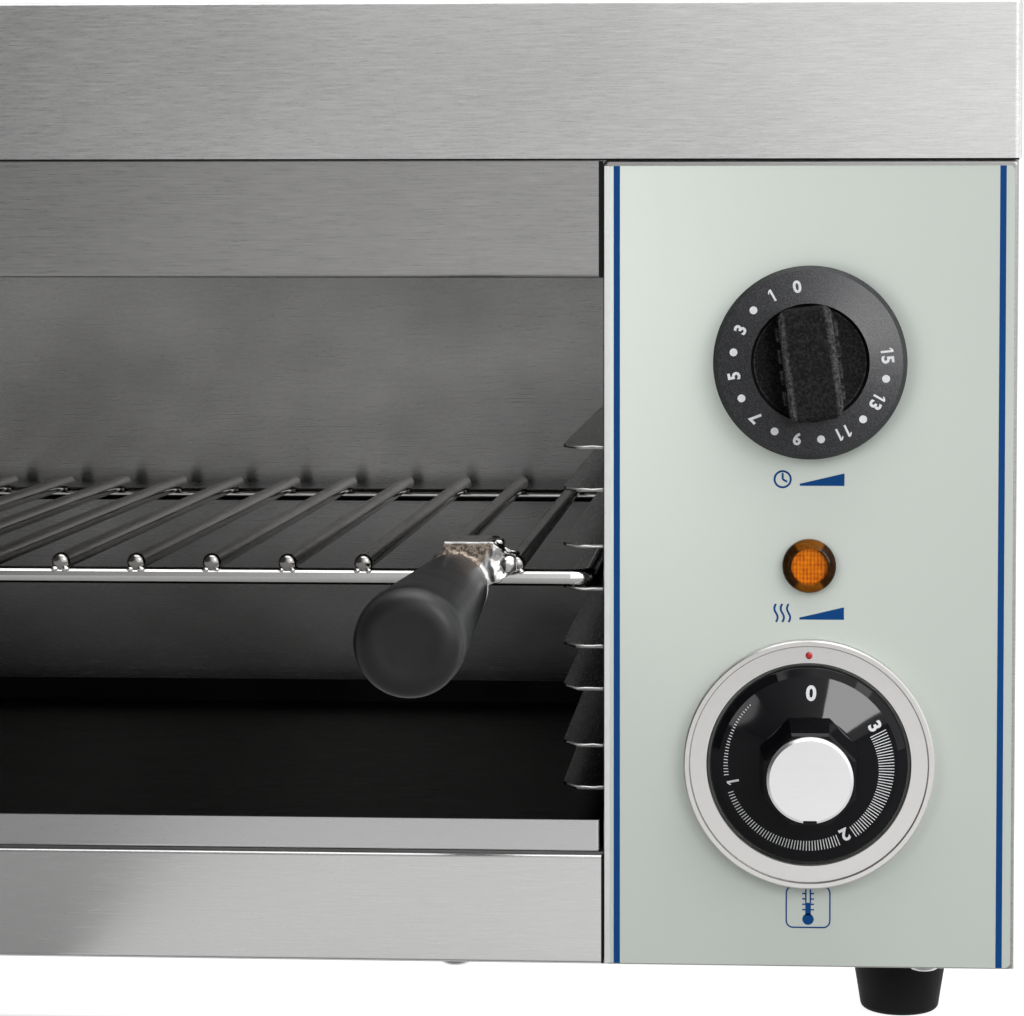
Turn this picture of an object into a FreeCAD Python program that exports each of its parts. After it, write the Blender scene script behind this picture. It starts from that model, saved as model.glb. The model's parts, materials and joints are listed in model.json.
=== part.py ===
import FreeCAD, Part
import Sketcher
import math
import os
import re

# Electric salamander grill, millimetres. +X is the right-hand side seen from the front, +Y goes to
# the back and +Z is up. The feet stand on Z = 0 and the origin is under the middle of the whole box.

Vector = FreeCAD.Vector
Rotation = FreeCAD.Rotation

# Driving dimensions. Every one is a cell of the sheet and can be changed by itself.
SIZES = {
    # casing
    "body_width": 596.4,
    "body_depth": 308.8,
    "body_height": 218.65,
    "skin": 1.2,
    "liner": 0.7,
    "foot_height": 18.4,
    "lid_height": 42.2,
    "lid_gap": 0.35,
    "lid_overhang": 0.8,
    "lid_lip": 16.0,
    "lid_corner": 2.0,
    "fold_radius": 1.0,
    "flange_width": 14.0,
    "deck_skirt": 10.0,
    "post_width": 18.8,
    "panel_width": 111.2,
    "wall_setback": 1.15,
    "rear_space": 28.8,
    "front_gap": 0.6,
    # front pieces
    "guard_height": 31.3,
    "guard_drop": 0.35,
    "lower_panel_height": 29.9,
    "lower_panel_lift": 0.2,
    "overlay_thick": 0.3,
    "overlay_side": 1.1,
    "overlay_top": 1.65,
    "overlay_bottom": 0.6,
    "overlay_corner": 1.5,
    # crumb tray
    "tray_sheet": 0.8,
    "tray_lip": 8.6,
    "tray_setback": 0.5,
    "tray_rear_gap": 33.5,
    "slide_gap": 0.15,
    "tray_side_gap": 2.15,
    # rack runners
    "runner_first": 66.85,
    "runner_pitch": 27.13,
    "runner_levels": 4,
    "runner_sheet": 0.9,
    "runner_reach": 12.6,
    "runner_slot": 10.7,
    "runner_setback": 3.0,
    "runner_end_gap": 4.0,
    "runner_nose_across": 4.2,
    "runner_nose_deep": 7.0,
    "runner_nose_round": 2.4,
    "rest_raise": 0.2,
    # grill rack
    "frame_rod": 4.6,
    "cross_rod": 5.0,
    "weld_sink": 1.1,
    "rack_side_gap": 3.05,
    "rack_setback": 5.0,
    "rack_rear_gap": 22.2,
    "rack_corner": 4.9,
    "rod_count": 21,
    "rod_inset": 19.9,
    "rod_front_overhang": 2.3,
    "rod_rear_overhang": 9.0,
    "rack_lift": 0.05,
    # handles
    "handle_inset": 17.05,
    "grip_base_radius": 9.7,
    "grip_end_radius": 13.6,
    "grip_length": 98.8,
    "grip_droop": 0.9,
    "grip_setback": 1.2,
    "grip_drop": 2.8,
    "grip_edge": 5.2,
    "grip_dish_radius": 8.2,
    "grip_dish_slope": 2.0,
    "grip_dish_depth": 0.3,
    "stud_radius": 2.5,
    "stud_length": 24.0,
    "collar_radius": 9.9,
    "collar_thick": 2.6,
    "casting_left": 2.6,
    "casting_right": 17.7,
    "casting_flat": 9.0,
    "casting_high": 12.9,
    "casting_shoulder": 3.3,
    "casting_low": 0.8,
    "casting_under": 1.0,
    "casting_wall": 1.2,
    "flange_thick": 1.2,
    "flange_reach": 17.0,
    "flange_right": 11.4,
    "clamp_screw_radius": 1.3,
    "clamp_head_radius": 1.9,
    "clamp_head_height": 1.5,
    "clamp_length": 6.0,
    "clamp_x": 11.7,
    # controls, each height as a share of the body's
    "timer_share": 0.7520,
    "lamp_share": 0.5010,
    "heat_share": 0.2563,
    "timer_radius": 25.9,
    "timer_skirt": 6.0,
    "timer_bevel": 1.2,
    "timer_recess_radius": 15.85,
    "timer_recess_depth": 3.0,
    "timer_recess_slope": 0.8,
    "timer_bar_width": 14.6,
    "timer_bar_length": 30.0,
    "timer_bar_height": 17.0,
    "timer_bar_turn": 6.6,
    "timer_bar_round": 1.2,
    "timer_bar_corner": 3.2,
    "timer_rib_count": 4,
    "timer_rib_pitch": 5.6,
    "timer_rib_length": 3.6,
    "timer_rib_width": 1.6,
    "timer_rib_height": 14.0,
    "knob_gap": 0.8,
    "shaft_radius": 3.0,
    "shaft_clearance": 0.05,
    "shaft_hole_radius": 4.5,
    "timer_box": 44.0,
    "timer_box_depth": 34.0,
    "heat_box": 52.0,
    "heat_box_depth": 32.0,
    "bezel_radius": 33.7,
    "bezel_inner_radius": 27.2,
    "bezel_thick": 3.2,
    "bezel_rim": 0.8,
    "bezel_rim_width": 1.8,
    "bezel_bevel": 0.35,
    "jewel_radius": 0.95,
    "jewel_height": 0.7,
    "dial_radius": 26.6,
    "dial_height": 6.6,
    "dial_fall": 1.7,
    "dial_rim": 2.4,
    "dial_rim_fall": 1.6,
    "dial_rim_round": 0.9,
    "boss_flats": 27.2,
    "boss_height": 24.6,
    "boss_taper": 3.7,
    "cap_radius": 11.35,
    "cap_height": 2.2,
    "cap_bevel": 0.7,
    "cap_notch": 0.9,
    "lens_radius": 7.25,
    "lens_height": 3.4,
    "lens_window_radius": 4.75,
    "lens_window_depth": 0.9,
    "lamp_body_radius": 5.9,
    "lamp_body_length": 26.0,
    "lamp_clip_radius": 9.0,
    "lamp_clip_thick": 2.0,
    # heating
    "element_radius": 4.0,
    "element_drop": 15.0,
    "element_count": 3,
    "element_pitch": 76.0,
    "element_first": 64.0,
    "element_half_span": 20.0,
    "element_left_gap": 22.0,
    "element_inside": 16.0,
    "bush_radius": 7.5,
    "bush_thick": 3.0,
    "terminal_radius": 2.0,
    "terminal_length": 10.0,
    "hanger_sheet": 1.2,
    "hanger_inset": 120.0,
    "hanger_below": 3.0,
    "hanger_past": 8.0,
    "reflector_gap": 8.0,
    "reflector_inset": 12.0,
    "reflector_fold": 14.0,
    "wool_thick": 20.0,
    "wool_margin": 2.0,
    "wool_gap": 8.0,
    # services
    "gland_z": 52.0,
    "gland_bore": 4.2,
    "gland_thread": 7.9,
    "gland_hex": 19.0,
    "gland_nut_hex": 22.0,
    "gland_round": 3.0,
    "gland_hex_thick": 5.0,
    "gland_cap_radius": 8.6,
    "gland_cap_length": 13.0,
    "block_length": 56.0,
    "block_width": 20.0,
    "block_height": 17.0,
    "block_ways": 4,
    "block_gap": 90.0,
    "lead_radius": 1.3,
    "lead_bend": 5.0,
    "lead_gap": 0.1,
    "lead_room": 12.0,
    "lead_front": 60.0,
    "earth_radius": 2.5,
    "earth_height": 14.0,
    "earth_gap": 54.0,
    "earth_flats": 8.0,
    "earth_nut": 4.0,
    "louvre_length": 62.0,
    "louvre_width": 4.0,
    "louvre_pitch": 11.0,
    "louvre_count": 7,
    "louvre_z": 78.0,
    "louvre_reach": 1.9,
    "louvre_sheet": 0.8,
    "slot_width": 3.0,
    "rear_slot_count": 9,
    "rear_slot_z": 150.0,
    # feet and screws
    "foot_top_radius": 13.75,
    "foot_bottom_radius": 10.75,
    "foot_edge": 1.6,
    "foot_inset_x": 29.4,
    "foot_inset_y": 30.0,
    "foot_inset_rear": 44.0,
    "foot_bore": 2.6,
    "foot_counterbore": 6.0,
    "foot_floor": 7.0,
    "screw_radius": 2.0,
    "screw_head_radius": 4.5,
    "screw_head_height": 2.0,
    "screw_inset": 8.0,
    "screw_length": 5.0,
    "foot_screw_reach": 3.0,
    "base_screw_right": 24.0,
    "side_screw_inset": 60.0,
    "rear_screw_low": 22.0,
    "rear_screw_high": 34.0,
    "lid_screw_inset": 7.5,
    "lid_screw_depth": 40.0,
}

# Places worked out from the driving dimensions.
PLACES = {
    "half_body": "body_width / 2",
    "half_lid": "half_body + lid_overhang",
    "handle_reach": (
        "grip_length * cos(grip_droop) + (grip_end_radius - grip_edge) * sin(grip_droop) - grip_setback"
    ),
    "rear_reach": "gland_hex_thick + gland_cap_length",
    "front": "(handle_reach - body_depth - rear_reach) / 2",
    "rear": "front + body_depth",
    "floor_z": "foot_height",
    "base_top": "floor_z + skin",
    "front_top": "floor_z + body_height",
    "deck_top": "front_top + lid_gap",
    "deck_under": "deck_top - skin",
    "total_height": "deck_top + lid_height",
    "post_right": "post_width - half_body",
    "column_left": "half_body - panel_width",
    "cavity_left": "post_right - wall_setback",
    "cavity_right": "column_left + wall_setback",
    "cavity_mid": "(cavity_left + cavity_right) / 2",
    "cavity_back": "rear - rear_space",
    "panel_mid": "half_body - panel_width / 2",
    "front_back": "front + skin",
    "wall_front": "front + 2 * skin",
    "inner_side": "half_body - skin",
    "rear_inner": "rear - skin",
    "lower_top": "floor_z + lower_panel_lift + lower_panel_height",
    "hearth_top": "lower_top + liner",
    "tray_bottom": "hearth_top + slide_gap",
    "tray_front": "front + tray_setback",
    "guard_top": "front_top - guard_drop",
    "guard_bottom": "guard_top - guard_height",
    "overlay_front": "front - overlay_thick",
    "rest_level": "runner_first + 2 * runner_pitch + rest_raise",
    "frame_radius": "frame_rod / 2",
    "cross_radius": "cross_rod / 2",
    "frame_z": "rest_level + rack_lift + frame_radius",
    "rod_z": "frame_z + frame_radius + cross_radius - weld_sink",
    "rack_right": "cavity_right - rack_side_gap - frame_radius",
    "rack_left": "cavity_left + rack_side_gap + frame_radius",
    "rod_pitch": "(rack_right - rack_left - 2 * rod_inset) / (rod_count - 1)",
    "rack_front": "front + rack_setback",
    "rack_rear": "cavity_back - rack_rear_gap",
    "tray_rear": "cavity_back - tray_rear_gap",
    "handle_right": "rack_right - rod_inset - handle_inset",
    "handle_left": "rack_left + rod_inset + handle_inset",
    "handle_z": "frame_z - grip_drop",
    "grip_front": "front + grip_setback",
    "rod_start": "rack_front - rod_front_overhang",
    "element_z": "deck_under - element_drop",
    "terminal_end": "cavity_right + liner + element_inside + terminal_length",
    "timer_z": "floor_z + timer_share * body_height",
    "lamp_z": "floor_z + lamp_share * body_height",
    "heat_z": "floor_z + heat_share * body_height",
    "block_y": "rear - block_gap",
    "gland_x": "panel_mid",
}

doc = FreeCAD.newDocument("SalamanderGrill")


# Sheets


def write_sheet(name, rows):
    """Fill one spreadsheet with a name and an aliased value in each row."""
    sheet = doc.addObject("Spreadsheet::Sheet", name)
    for row, (alias, content) in enumerate(rows.items(), start=1):
        sheet.set(f"A{row}", alias)
        sheet.set(f"B{row}", content)
        sheet.setAlias(f"B{row}", alias)
    return sheet


def qualified(formula):
    """Write each alias in a formula with the name of the sheet that holds it."""

    def with_sheet(match):
        word = match.group(0)
        if word in SIZES:
            return f"Sizes.{word}"
        if word in PLACES:
            return f"Places.{word}"
        return word

    return re.sub(r"[A-Za-z_]\w*", with_sheet, str(formula))


sizes = write_sheet("Sizes", {alias: str(number) for alias, number in SIZES.items()})
doc.recompute()
places = write_sheet("Places", {alias: "=" + qualified(formula) for alias, formula in PLACES.items()})
doc.recompute()


def value(formula):
    """The number that a formula of aliases has now."""
    return float(sizes.evalExpression(qualified(formula)))


def bind(thing, **formulas):
    """Bind properties of an object to formulas of aliases."""
    for name, formula in formulas.items():
        thing.setExpression(name, qualified(formula))


def place(thing, x, y, z):
    """Bind the position of an object to three formulas."""
    for axis, formula in zip("xyz", (x, y, z)):
        thing.setExpression(f"Placement.Base.{axis}", qualified(formula))


# Rotations that turn the +Z axis of a primitive to the named direction
TURNS = {
    "+z": Rotation(),
    "-z": Rotation(Vector(1, 0, 0), 180),
    "+y": Rotation(Vector(1, 0, 0), -90),
    "-y": Rotation(Vector(1, 0, 0), 90),
    "+x": Rotation(Vector(0, 1, 0), 90),
    "-x": Rotation(Vector(0, 1, 0), -90),
}
nodes = {}


class Piece:
    """One sub-part: a body whose features are all bound to the sheets."""

    def __init__(self, label):
        self.label = label
        self.body = doc.addObject("PartDesign::Body", label)
        self.body.Label = label
        self.body.AllowCompound = True
        self.count = 0
        nodes[label] = self.body

    def feature(self, kind, cut, x, y, z, direction, **formulas):
        self.count += 1
        prefix = "Subtractive" if cut else "Additive"
        name = f"{self.label}_{kind.lower()}_{self.count}"
        thing = self.body.newObject(f"PartDesign::{prefix}{kind}", name)
        bind(thing, **formulas)
        thing.Placement.Rotation = TURNS[direction]
        place(thing, x, y, z)
        return thing

    def box(self, xs, ys, zs, cut=False):
        """A box between two formulas along each axis."""
        (x0, x1), (y0, y1), (z0, z1) = xs, ys, zs
        return self.feature(
            "Box", cut, x0, y0, z0, "+z",
            Length=f"({x1}) - ({x0})",
            Width=f"({y1}) - ({y0})",
            Height=f"({z1}) - ({z0})",
        )

    def rod(self, radius, length, x, y, z, direction="+z", cut=False):
        """A cylinder that starts at a point and runs in a direction."""
        return self.feature("Cylinder", cut, x, y, z, direction, Radius=radius, Height=length)

    def cone(self, radius, end_radius, length, x, y, z, direction="+z", cut=False):
        """A cone frustum that starts at a point and runs in a direction."""
        return self.feature(
            "Cone", cut, x, y, z, direction, Radius1=radius, Radius2=end_radius, Height=length
        )

    def dome(self, radius, x, y, z, cut=False):
        """A whole sphere about a point."""
        return self.feature("Sphere", cut, x, y, z, "+z", Radius=radius)

    def prism(self, sides, flats, length, x, y, z, direction="+z", turn=0.0, cut=False):
        """A regular prism given by its width across flats."""
        corner = f"({flats}) / 2 / cos(180 / {sides})"
        thing = self.feature("Prism", cut, x, y, z, direction, Circumradius=corner, Height=length)
        thing.Polygon = sides
        spin = Rotation(Vector(0, 0, 1), turn)
        thing.Placement.Rotation = TURNS[direction].multiply(spin)
        return thing

    def outline(self, plane, points, offset):
        """A closed sketch with pairs of formulas as corners, moved by (u, v, normal) formulas."""
        self.count += 1
        sketch = self.body.newObject("Sketcher::SketchObject", f"{self.label}_sketch_{self.count}")
        role = f"{plane}_Plane"
        support = [part for part in self.body.Origin.OriginFeatures if part.Role == role][0]
        sketch.AttachmentSupport = (support, [""])
        sketch.MapMode = "FlatFace"
        for axis, formula in zip("xyz", offset):
            sketch.setExpression(f"AttachmentOffset.Base.{axis}", qualified(formula))
        corners = [Vector(value(u), value(v), 0) for u, v in points]
        for start, end in zip(corners, corners[1:] + corners[:1]):
            sketch.addGeometry(Part.LineSegment(start, end), False)
        for side in range(len(points)):
            following = (side + 1) % len(points)
            sketch.addConstraint(Sketcher.Constraint("Coincident", side, 2, following, 1))
        for side, corner in enumerate(points):
            for kind, formula in zip(("DistanceX", "DistanceY"), corner):
                number = sketch.addConstraint(
                    Sketcher.Constraint(kind, -1, 1, side, 1, value(formula))
                )
                sketch.setExpression(f"Constraints[{number}]", qualified(formula))
        return sketch

    def pad(self, plane, points, length, level="0", cut=False, reverse=False):
        """A closed outline pushed out (or cut) from a level, square to its plane."""
        sketch = self.outline(plane, points, ("0", "0", level))
        kind = "Pocket" if cut else "Pad"
        thing = self.body.newObject(f"PartDesign::{kind}", f"{sketch.Name}_{kind.lower()}")
        thing.Profile = sketch
        thing.Reversed = reverse
        bind(thing, Length=length)
        return thing

    def lathe(self, points, x, y, z):
        """A profile of (radius, distance to the front) formulas turned about a line along Y."""
        corners = [(radius, f"-({out})") for radius, out in points]
        return self.turned("XY", corners, (x, y, z))

    def upright(self, points, x="0", y="0", z="0"):
        """A profile of (radius, height) formulas turned about a line along Z."""
        return self.turned("XZ", points, (x, z, f"-({y})"))

    def turned(self, plane, corners, offset):
        sketch = self.outline(plane, corners, offset)
        thing = self.body.newObject("PartDesign::Revolution", f"{sketch.Name}_turned")
        thing.Profile = sketch
        thing.ReferenceAxis = (sketch, ["V_Axis"])
        thing.Angle = 360.0
        return thing

    def fillet(self, radius, chosen):
        """Round the edges of the body for which the test holds."""
        return self.dress("Fillet", chosen, Radius=radius)

    def chamfer(self, size, chosen):
        return self.dress("Chamfer", chosen, Size=size)

    def dress(self, kind, chosen, **formulas):
        doc.recompute()
        tip = self.body.Tip
        names = [
            f"Edge{number}"
            for number, edge in enumerate(tip.Shape.Edges, start=1)
            if chosen(edge)
        ]
        if not names:
            raise ValueError(f"{self.label} has no edge to round")
        self.count += 1
        thing = self.body.newObject(f"PartDesign::{kind}", f"{self.label}_{kind.lower()}_{self.count}")
        thing.Base = (tip, names)
        bind(thing, **formulas)
        return thing


# How far apart two lengths may be and still count as the same
SLACK = 0.02


def near(first, second):
    return abs(first - second) < SLACK


def runs_along(edge, axis):
    """Whether an edge is straight and runs along one axis."""
    box = edge.BoundBox
    spans = {"x": box.XLength, "y": box.YLength, "z": box.ZLength}
    others = [span for name, span in spans.items() if name != axis]
    return spans[axis] > 1e-3 and max(others) < 1e-3


def at(edge, **spots):
    """Whether the middle of an edge lies at the given formulas."""
    centre = edge.BoundBox.Center
    now = {"x": centre.x, "y": centre.y, "z": centre.z}
    return all(near(now[axis], value(formula)) for axis, formula in spots.items())


def round_edge(edge, radius, **spots):
    """Whether an edge is a circle of a radius with its middle at the given formulas."""
    curve = edge.Curve
    return hasattr(curve, "Radius") and near(curve.Radius, value(radius)) and at(edge, **spots)


def drill(piece, spots, direction, length, radius="screw_radius"):
    """Cut the same round hole at each spot."""
    for x, y, z in spots:
        piece.rod(radius, length, x, y, z, direction, cut=True)


def collect(label, things):
    """Several objects that are one node: separate solids with one name."""
    group = doc.addObject("Part::Compound", label)
    group.Label = label
    group.Links = things
    nodes[label] = group
    return group


def mirrored(thing, middle):
    """The mirror image of an object across the plane X = middle."""
    image = doc.addObject("Part::Mirroring", f"{thing.Name}_image")
    image.Source = thing
    image.Normal = Vector(1, 0, 0)
    image.setExpression("Base.x", qualified(middle))
    return image


# Screw places, each as formulas of X, Y and Z

base_screw_spots = [
    (x, "front + screw_inset", "floor_z")
    for x in ("handle_right", "handle_left", "half_body - base_screw_right")
]
side_screw_spots = [
    (side, y, z)
    for side in ("half_body", "-half_body")
    for y in ("front + side_screw_inset", "rear - side_screw_inset")
    for z in ("base_top + flange_width / 2", "deck_under - deck_skirt / 2")
]
rear_screw_spots = [
    (x, "rear", z)
    for x in ("inner_side - flange_width / 2", "flange_width / 2 - inner_side")
    for z in ("base_top + rear_screw_low", "deck_under - rear_screw_high")
]
lid_screw_spots = [
    (x, y, "deck_under")
    for x in ("inner_side - lid_screw_inset", "lid_screw_inset - inner_side")
    for y in ("front + lid_screw_depth", "rear - lid_screw_depth")
]
foot_spots = [
    (x, y, "0")
    for x in ("half_body - foot_inset_x", "foot_inset_x - half_body")
    for y in ("front + foot_inset_y", "rear - foot_inset_rear")
]
DIRECTIONS = {"half_body": "-x", "-half_body": "+x"}


# Casing


def make_top_cover():
    """A shallow pan upside down, with its lower edges folded in to a lip."""
    cover = Piece("top_cover")
    wide = ("-half_lid", "half_lid")
    deep = ("front - lid_overhang", "rear + lid_overhang")
    cover.box(wide, deep, ("deck_top", "total_height"))
    cover.box(
        ("skin - half_lid", "half_lid - skin"),
        ("front - lid_overhang + skin", "rear + lid_overhang - skin"),
        ("deck_top + skin", "total_height - skin"),
        cut=True,
    )
    cover.box(
        ("lid_lip - half_lid", "half_lid - lid_lip"),
        ("front - lid_overhang + lid_lip", "rear + lid_overhang - lid_lip"),
        ("deck_top - skin", "deck_top + 2 * skin"),
        cut=True,
    )
    drill(cover, lid_screw_spots, "+z", "screw_length")
    cover.fillet(
        "lid_corner",
        lambda edge: runs_along(edge, "z") and near(abs(edge.BoundBox.Center.x), value("half_lid")),
    )
    top = value("total_height")
    cover.fillet("fold_radius", lambda edge: near(edge.BoundBox.ZMin, top) and touches_rim(edge))


def touches_rim(edge):
    """Whether an edge lies on the outer rim of the lid."""
    box = edge.BoundBox
    reach = max(abs(box.XMin), abs(box.XMax))
    corner = value("half_lid - lid_corner")
    return reach > corner - SLACK


def make_top_deck():
    """The plate that carries the lid and closes the cooking space, with its edges folded down."""
    deck = Piece("top_deck")
    deck.box(("-inner_side", "inner_side"), ("front_back", "rear_inner"), ("deck_under", "deck_top"))
    skirt = ("deck_under - deck_skirt", "deck_under")
    deck.box(("-inner_side", "inner_side"), ("front_back", "front_back + skin"), skirt)
    sides = ("wall_front + flange_width", "rear_inner - 2 * skin")
    deck.box(("inner_side - skin", "inner_side"), sides, skirt)
    deck.box(("-inner_side", "skin - inner_side"), sides, skirt)
    drill(deck, lid_screw_spots, "+z", "screw_length")
    for x, y, z in side_screw_spots:
        deck.rod("screw_radius", "screw_length", x, y, z, DIRECTIONS[x], cut=True)


def make_side_panel(label, sign):
    """An outer side sheet with a flange turned in at the back; the left one makes the front post."""
    panel = Piece(label)
    outer = f"{sign} * half_body"
    inner = f"{sign} * inner_side"
    flange = f"{sign} * (inner_side - flange_width)"
    start = "front" if sign < 0 else "front_back"
    sheet = [(outer, start), (inner, start), (inner, "rear"), (outer, "rear")]
    panel.pad("XY", sheet, "body_height", level="floor_z")
    low, high = "base_top", "deck_under"
    back = [(inner, "rear_inner - skin"), (flange, "rear_inner - skin"), (flange, "rear_inner"),
            (inner, "rear_inner")]
    panel.pad("XY", back, f"{high} - {low}", level=low)
    if sign < 0:
        post = [(outer, "front"), ("post_right", "front"), ("post_right", "front_back"),
                (outer, "front_back")]
        panel.pad("XY", post, "body_height", level="floor_z")
    else:
        for row in range(SIZES["louvre_count"]):
            press_louvre(panel, f"louvre_z + {row} * louvre_pitch")
    for x, y, z in side_screw_spots:
        if DIRECTIONS[x] == ("+x" if sign < 0 else "-x"):
            panel.rod("screw_radius", "screw_length", x, y, z, DIRECTIONS[x], cut=True)
    for x, y, z in rear_screw_spots:
        if x.startswith("inner") == (sign > 0):
            panel.rod("screw_radius", "screw_length", x, y, z, "-y", cut=True)
    if sign < 0:
        panel.fillet(
            "fold_radius",
            lambda edge: runs_along(edge, "z") and at(edge, x="-half_body", y="front"),
        )


def press_louvre(panel, z):
    """An air slot under a sloping hood pressed out of the right-hand side."""
    shape = "louvre_reach + louvre_width"
    hood = [("half_body", z), ("half_body + louvre_reach", z), ("half_body", f"{z} + {shape}")]
    panel.pad("XZ", hood, "louvre_length", level="-(front + rear + louvre_length) / 2")
    inside = [
        ("inner_side - skin", f"{z} - louvre_sheet"),
        ("half_body + louvre_reach - louvre_sheet", f"{z} - louvre_sheet"),
        ("half_body + louvre_reach - louvre_sheet", z),
        ("half_body", f"{z} + {shape} - 2 * louvre_sheet"),
        ("inner_side - skin", f"{z} + {shape} - 2 * louvre_sheet"),
    ]
    panel.pad(
        "XZ",
        inside,
        "louvre_length - 2 * louvre_sheet",
        level="louvre_sheet - (front + rear + louvre_length) / 2",
        cut=True,
        reverse=True,
    )


def make_rear_panel():
    """The flat sheet at the back, with air slots and the hole for the mains gland."""
    panel = Piece("rear_panel")
    panel.box(("-inner_side", "inner_side"), ("rear_inner", "rear"), ("base_top", "front_top"))
    panel.rod("gland_thread", "4 * skin", "gland_x", "rear_inner - skin", "gland_z", "+y", cut=True)
    drill(panel, rear_screw_spots, "-y", "screw_length")
    for column in range(SIZES["rear_slot_count"]):
        x = f"gland_x + ({column} - (rear_slot_count - 1) / 2) * louvre_pitch"
        panel.box(
            (f"{x} - slot_width / 2", f"{x} + slot_width / 2"),
            ("rear_inner - skin", "rear + skin"),
            ("rear_slot_z - louvre_length / 2", "rear_slot_z + louvre_length / 2"),
            cut=True,
        )


def make_base_plate():
    """The bottom sheet with side flanges folded up, drilled for feet and screws."""
    base = Piece("base_plate")
    base.box(("-inner_side", "inner_side"), ("front_back", "rear_inner"), ("floor_z", "base_top"))
    sides = ("wall_front + flange_width", "rear_inner - skin - flange_width")
    up = ("base_top", "base_top + flange_width")
    base.box(("inner_side - skin", "inner_side"), sides, up)
    base.box(("-inner_side", "skin - inner_side"), sides, up)
    drill(base, base_screw_spots, "+z", "screw_length")
    drill(base, [(x, y, "floor_z - skin") for x, y, z in foot_spots], "+z", "screw_length")
    for x, y, z in side_screw_spots:
        base.rod("screw_radius", "screw_length", x, y, z, DIRECTIONS[x], cut=True)


def make_lower_front_panel():
    """The strip under the crumb tray: a channel that opens to the back."""
    panel = Piece("lower_front_panel")
    wide = ("post_right + front_gap", "column_left - front_gap")
    low = "floor_z + lower_panel_lift"
    panel.box(wide, ("front", "front_back"), (low, "lower_top"))
    panel.box(wide, ("front_back", "front + flange_width"), ("lower_top - skin", "lower_top"))
    panel.box(wide, ("front_back", "front + flange_width"), ("base_top", "base_top + skin"))
    drill(panel, base_screw_spots[:2], "+z", "screw_length")
    for height in ("lower_top", low):
        panel.fillet(
            "fold_radius",
            lambda edge: runs_along(edge, "x") and at(edge, y="front", z=height),
        )


def make_upper_front_guard():
    """The hood sheet that hides the heating elements from the front."""
    guard = Piece("upper_front_guard")
    wide = ("post_right + front_gap", "column_left - 2 * front_gap")
    guard.box(wide, ("front", "front_back"), ("guard_bottom", "guard_top"))
    guard.box(
        wide,
        ("front_back", "front + flange_width"),
        ("guard_bottom", "guard_bottom + skin"),
    )
    guard.fillet(
        "fold_radius",
        lambda edge: runs_along(edge, "x") and at(edge, y="front", z="guard_bottom"),
    )


def make_control_panel():
    """The front of the control box: a folded sheet with holes for shafts, lamp and bezel."""
    panel = Piece("control_panel")
    wide = ("column_left", "half_body")
    panel.box(wide, ("front", "front_back"), ("floor_z", "front_top"))
    high = ("base_top + flange_width", "deck_under - deck_skirt - skin")
    back = ("front_back", "front + flange_width")
    panel.box(("cavity_right + liner", "cavity_right + liner + skin"), back, high)
    panel.box(("inner_side - skin", "inner_side"), back, high)
    inside = ("cavity_right + liner", "inner_side - skin")
    panel.box(inside, back, ("base_top", "base_top + skin"))
    drill(panel, base_screw_spots[2:], "+z", "screw_length")
    for z, radius in (("timer_z", "shaft_hole_radius"), ("heat_z", "shaft_hole_radius"),
                      ("lamp_z", "lamp_body_radius")):
        panel.rod(radius, "4 * skin", "panel_mid", "front - skin", z, "+y", cut=True)
    panel.fillet(
        "overlay_corner",
        lambda edge: runs_along(edge, "y") and at(edge, y="front + skin / 2")
        and near(abs(edge.BoundBox.Center.x - value("panel_mid")), value("panel_width / 2")),
    )
    panel.fillet(
        "fold_radius",
        lambda edge: near(edge.BoundBox.YMax, value("front")) and on_panel_rim(edge),
    )


def on_panel_rim(edge):
    """Whether an edge lies on the outer rim of the control panel's face."""
    middle = edge.BoundBox.Center
    across = abs(middle.x - value("panel_mid"))
    up = abs(middle.z - value("floor_z + body_height / 2"))
    wide = value("panel_width / 2 - overlay_corner") - SLACK
    high = value("body_height / 2 - overlay_corner") - SLACK
    return across > wide or up > high


def make_control_overlay():
    """The coloured plate that covers the face of the control panel."""
    overlay = Piece("control_overlay")
    overlay.box(
        ("column_left + overlay_side", "half_body - overlay_side"),
        ("overlay_front", "front"),
        ("floor_z + overlay_bottom", "front_top - overlay_top"),
    )
    for z, radius in (("timer_z", "shaft_hole_radius"), ("heat_z", "shaft_hole_radius"),
                      ("lamp_z", "lamp_body_radius")):
        overlay.rod(radius, "4 * skin", "panel_mid", "front - 2 * skin", z, "+y", cut=True)
    overlay.fillet(
        "overlay_corner",
        lambda edge: runs_along(edge, "y")
        and abs(edge.BoundBox.Center.x - value("panel_mid")) > value("panel_width / 4"),
    )


# Cooking space


def make_cavity():
    """The four sheets that line the cooking space."""
    hearth = Piece("cavity_floor")
    hearth.box(
        ("cavity_left - liner", "cavity_right + liner"),
        ("front_back", "cavity_back"),
        ("lower_top", "hearth_top"),
    )
    back = Piece("cavity_back_wall")
    back.box(
        ("cavity_left - liner", "cavity_right + liner"),
        ("cavity_back", "cavity_back + liner"),
        ("base_top", "deck_under"),
    )
    left = Piece("cavity_wall_left")
    left.box(
        ("cavity_left - liner", "cavity_left"), ("wall_front", "cavity_back"), ("hearth_top", "deck_under")
    )
    right = Piece("cavity_wall_right")
    right.box(
        ("cavity_right", "cavity_right + liner"), ("wall_front", "cavity_back"), ("hearth_top", "deck_under")
    )
    for y in element_legs():
        right.rod("element_radius", "4 * skin", "cavity_right - skin", y, "element_z", "+x", cut=True)


def element_legs():
    """The Y place of each straight leg of the heating elements."""
    return [
        f"front + element_first + {number} * element_pitch + {side} * element_half_span"
        for number in range(SIZES["element_count"])
        for side in (-1, 1)
    ]


# The channel that holds the rack, counted from the lowest
REST_CHANNEL = 2


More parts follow.
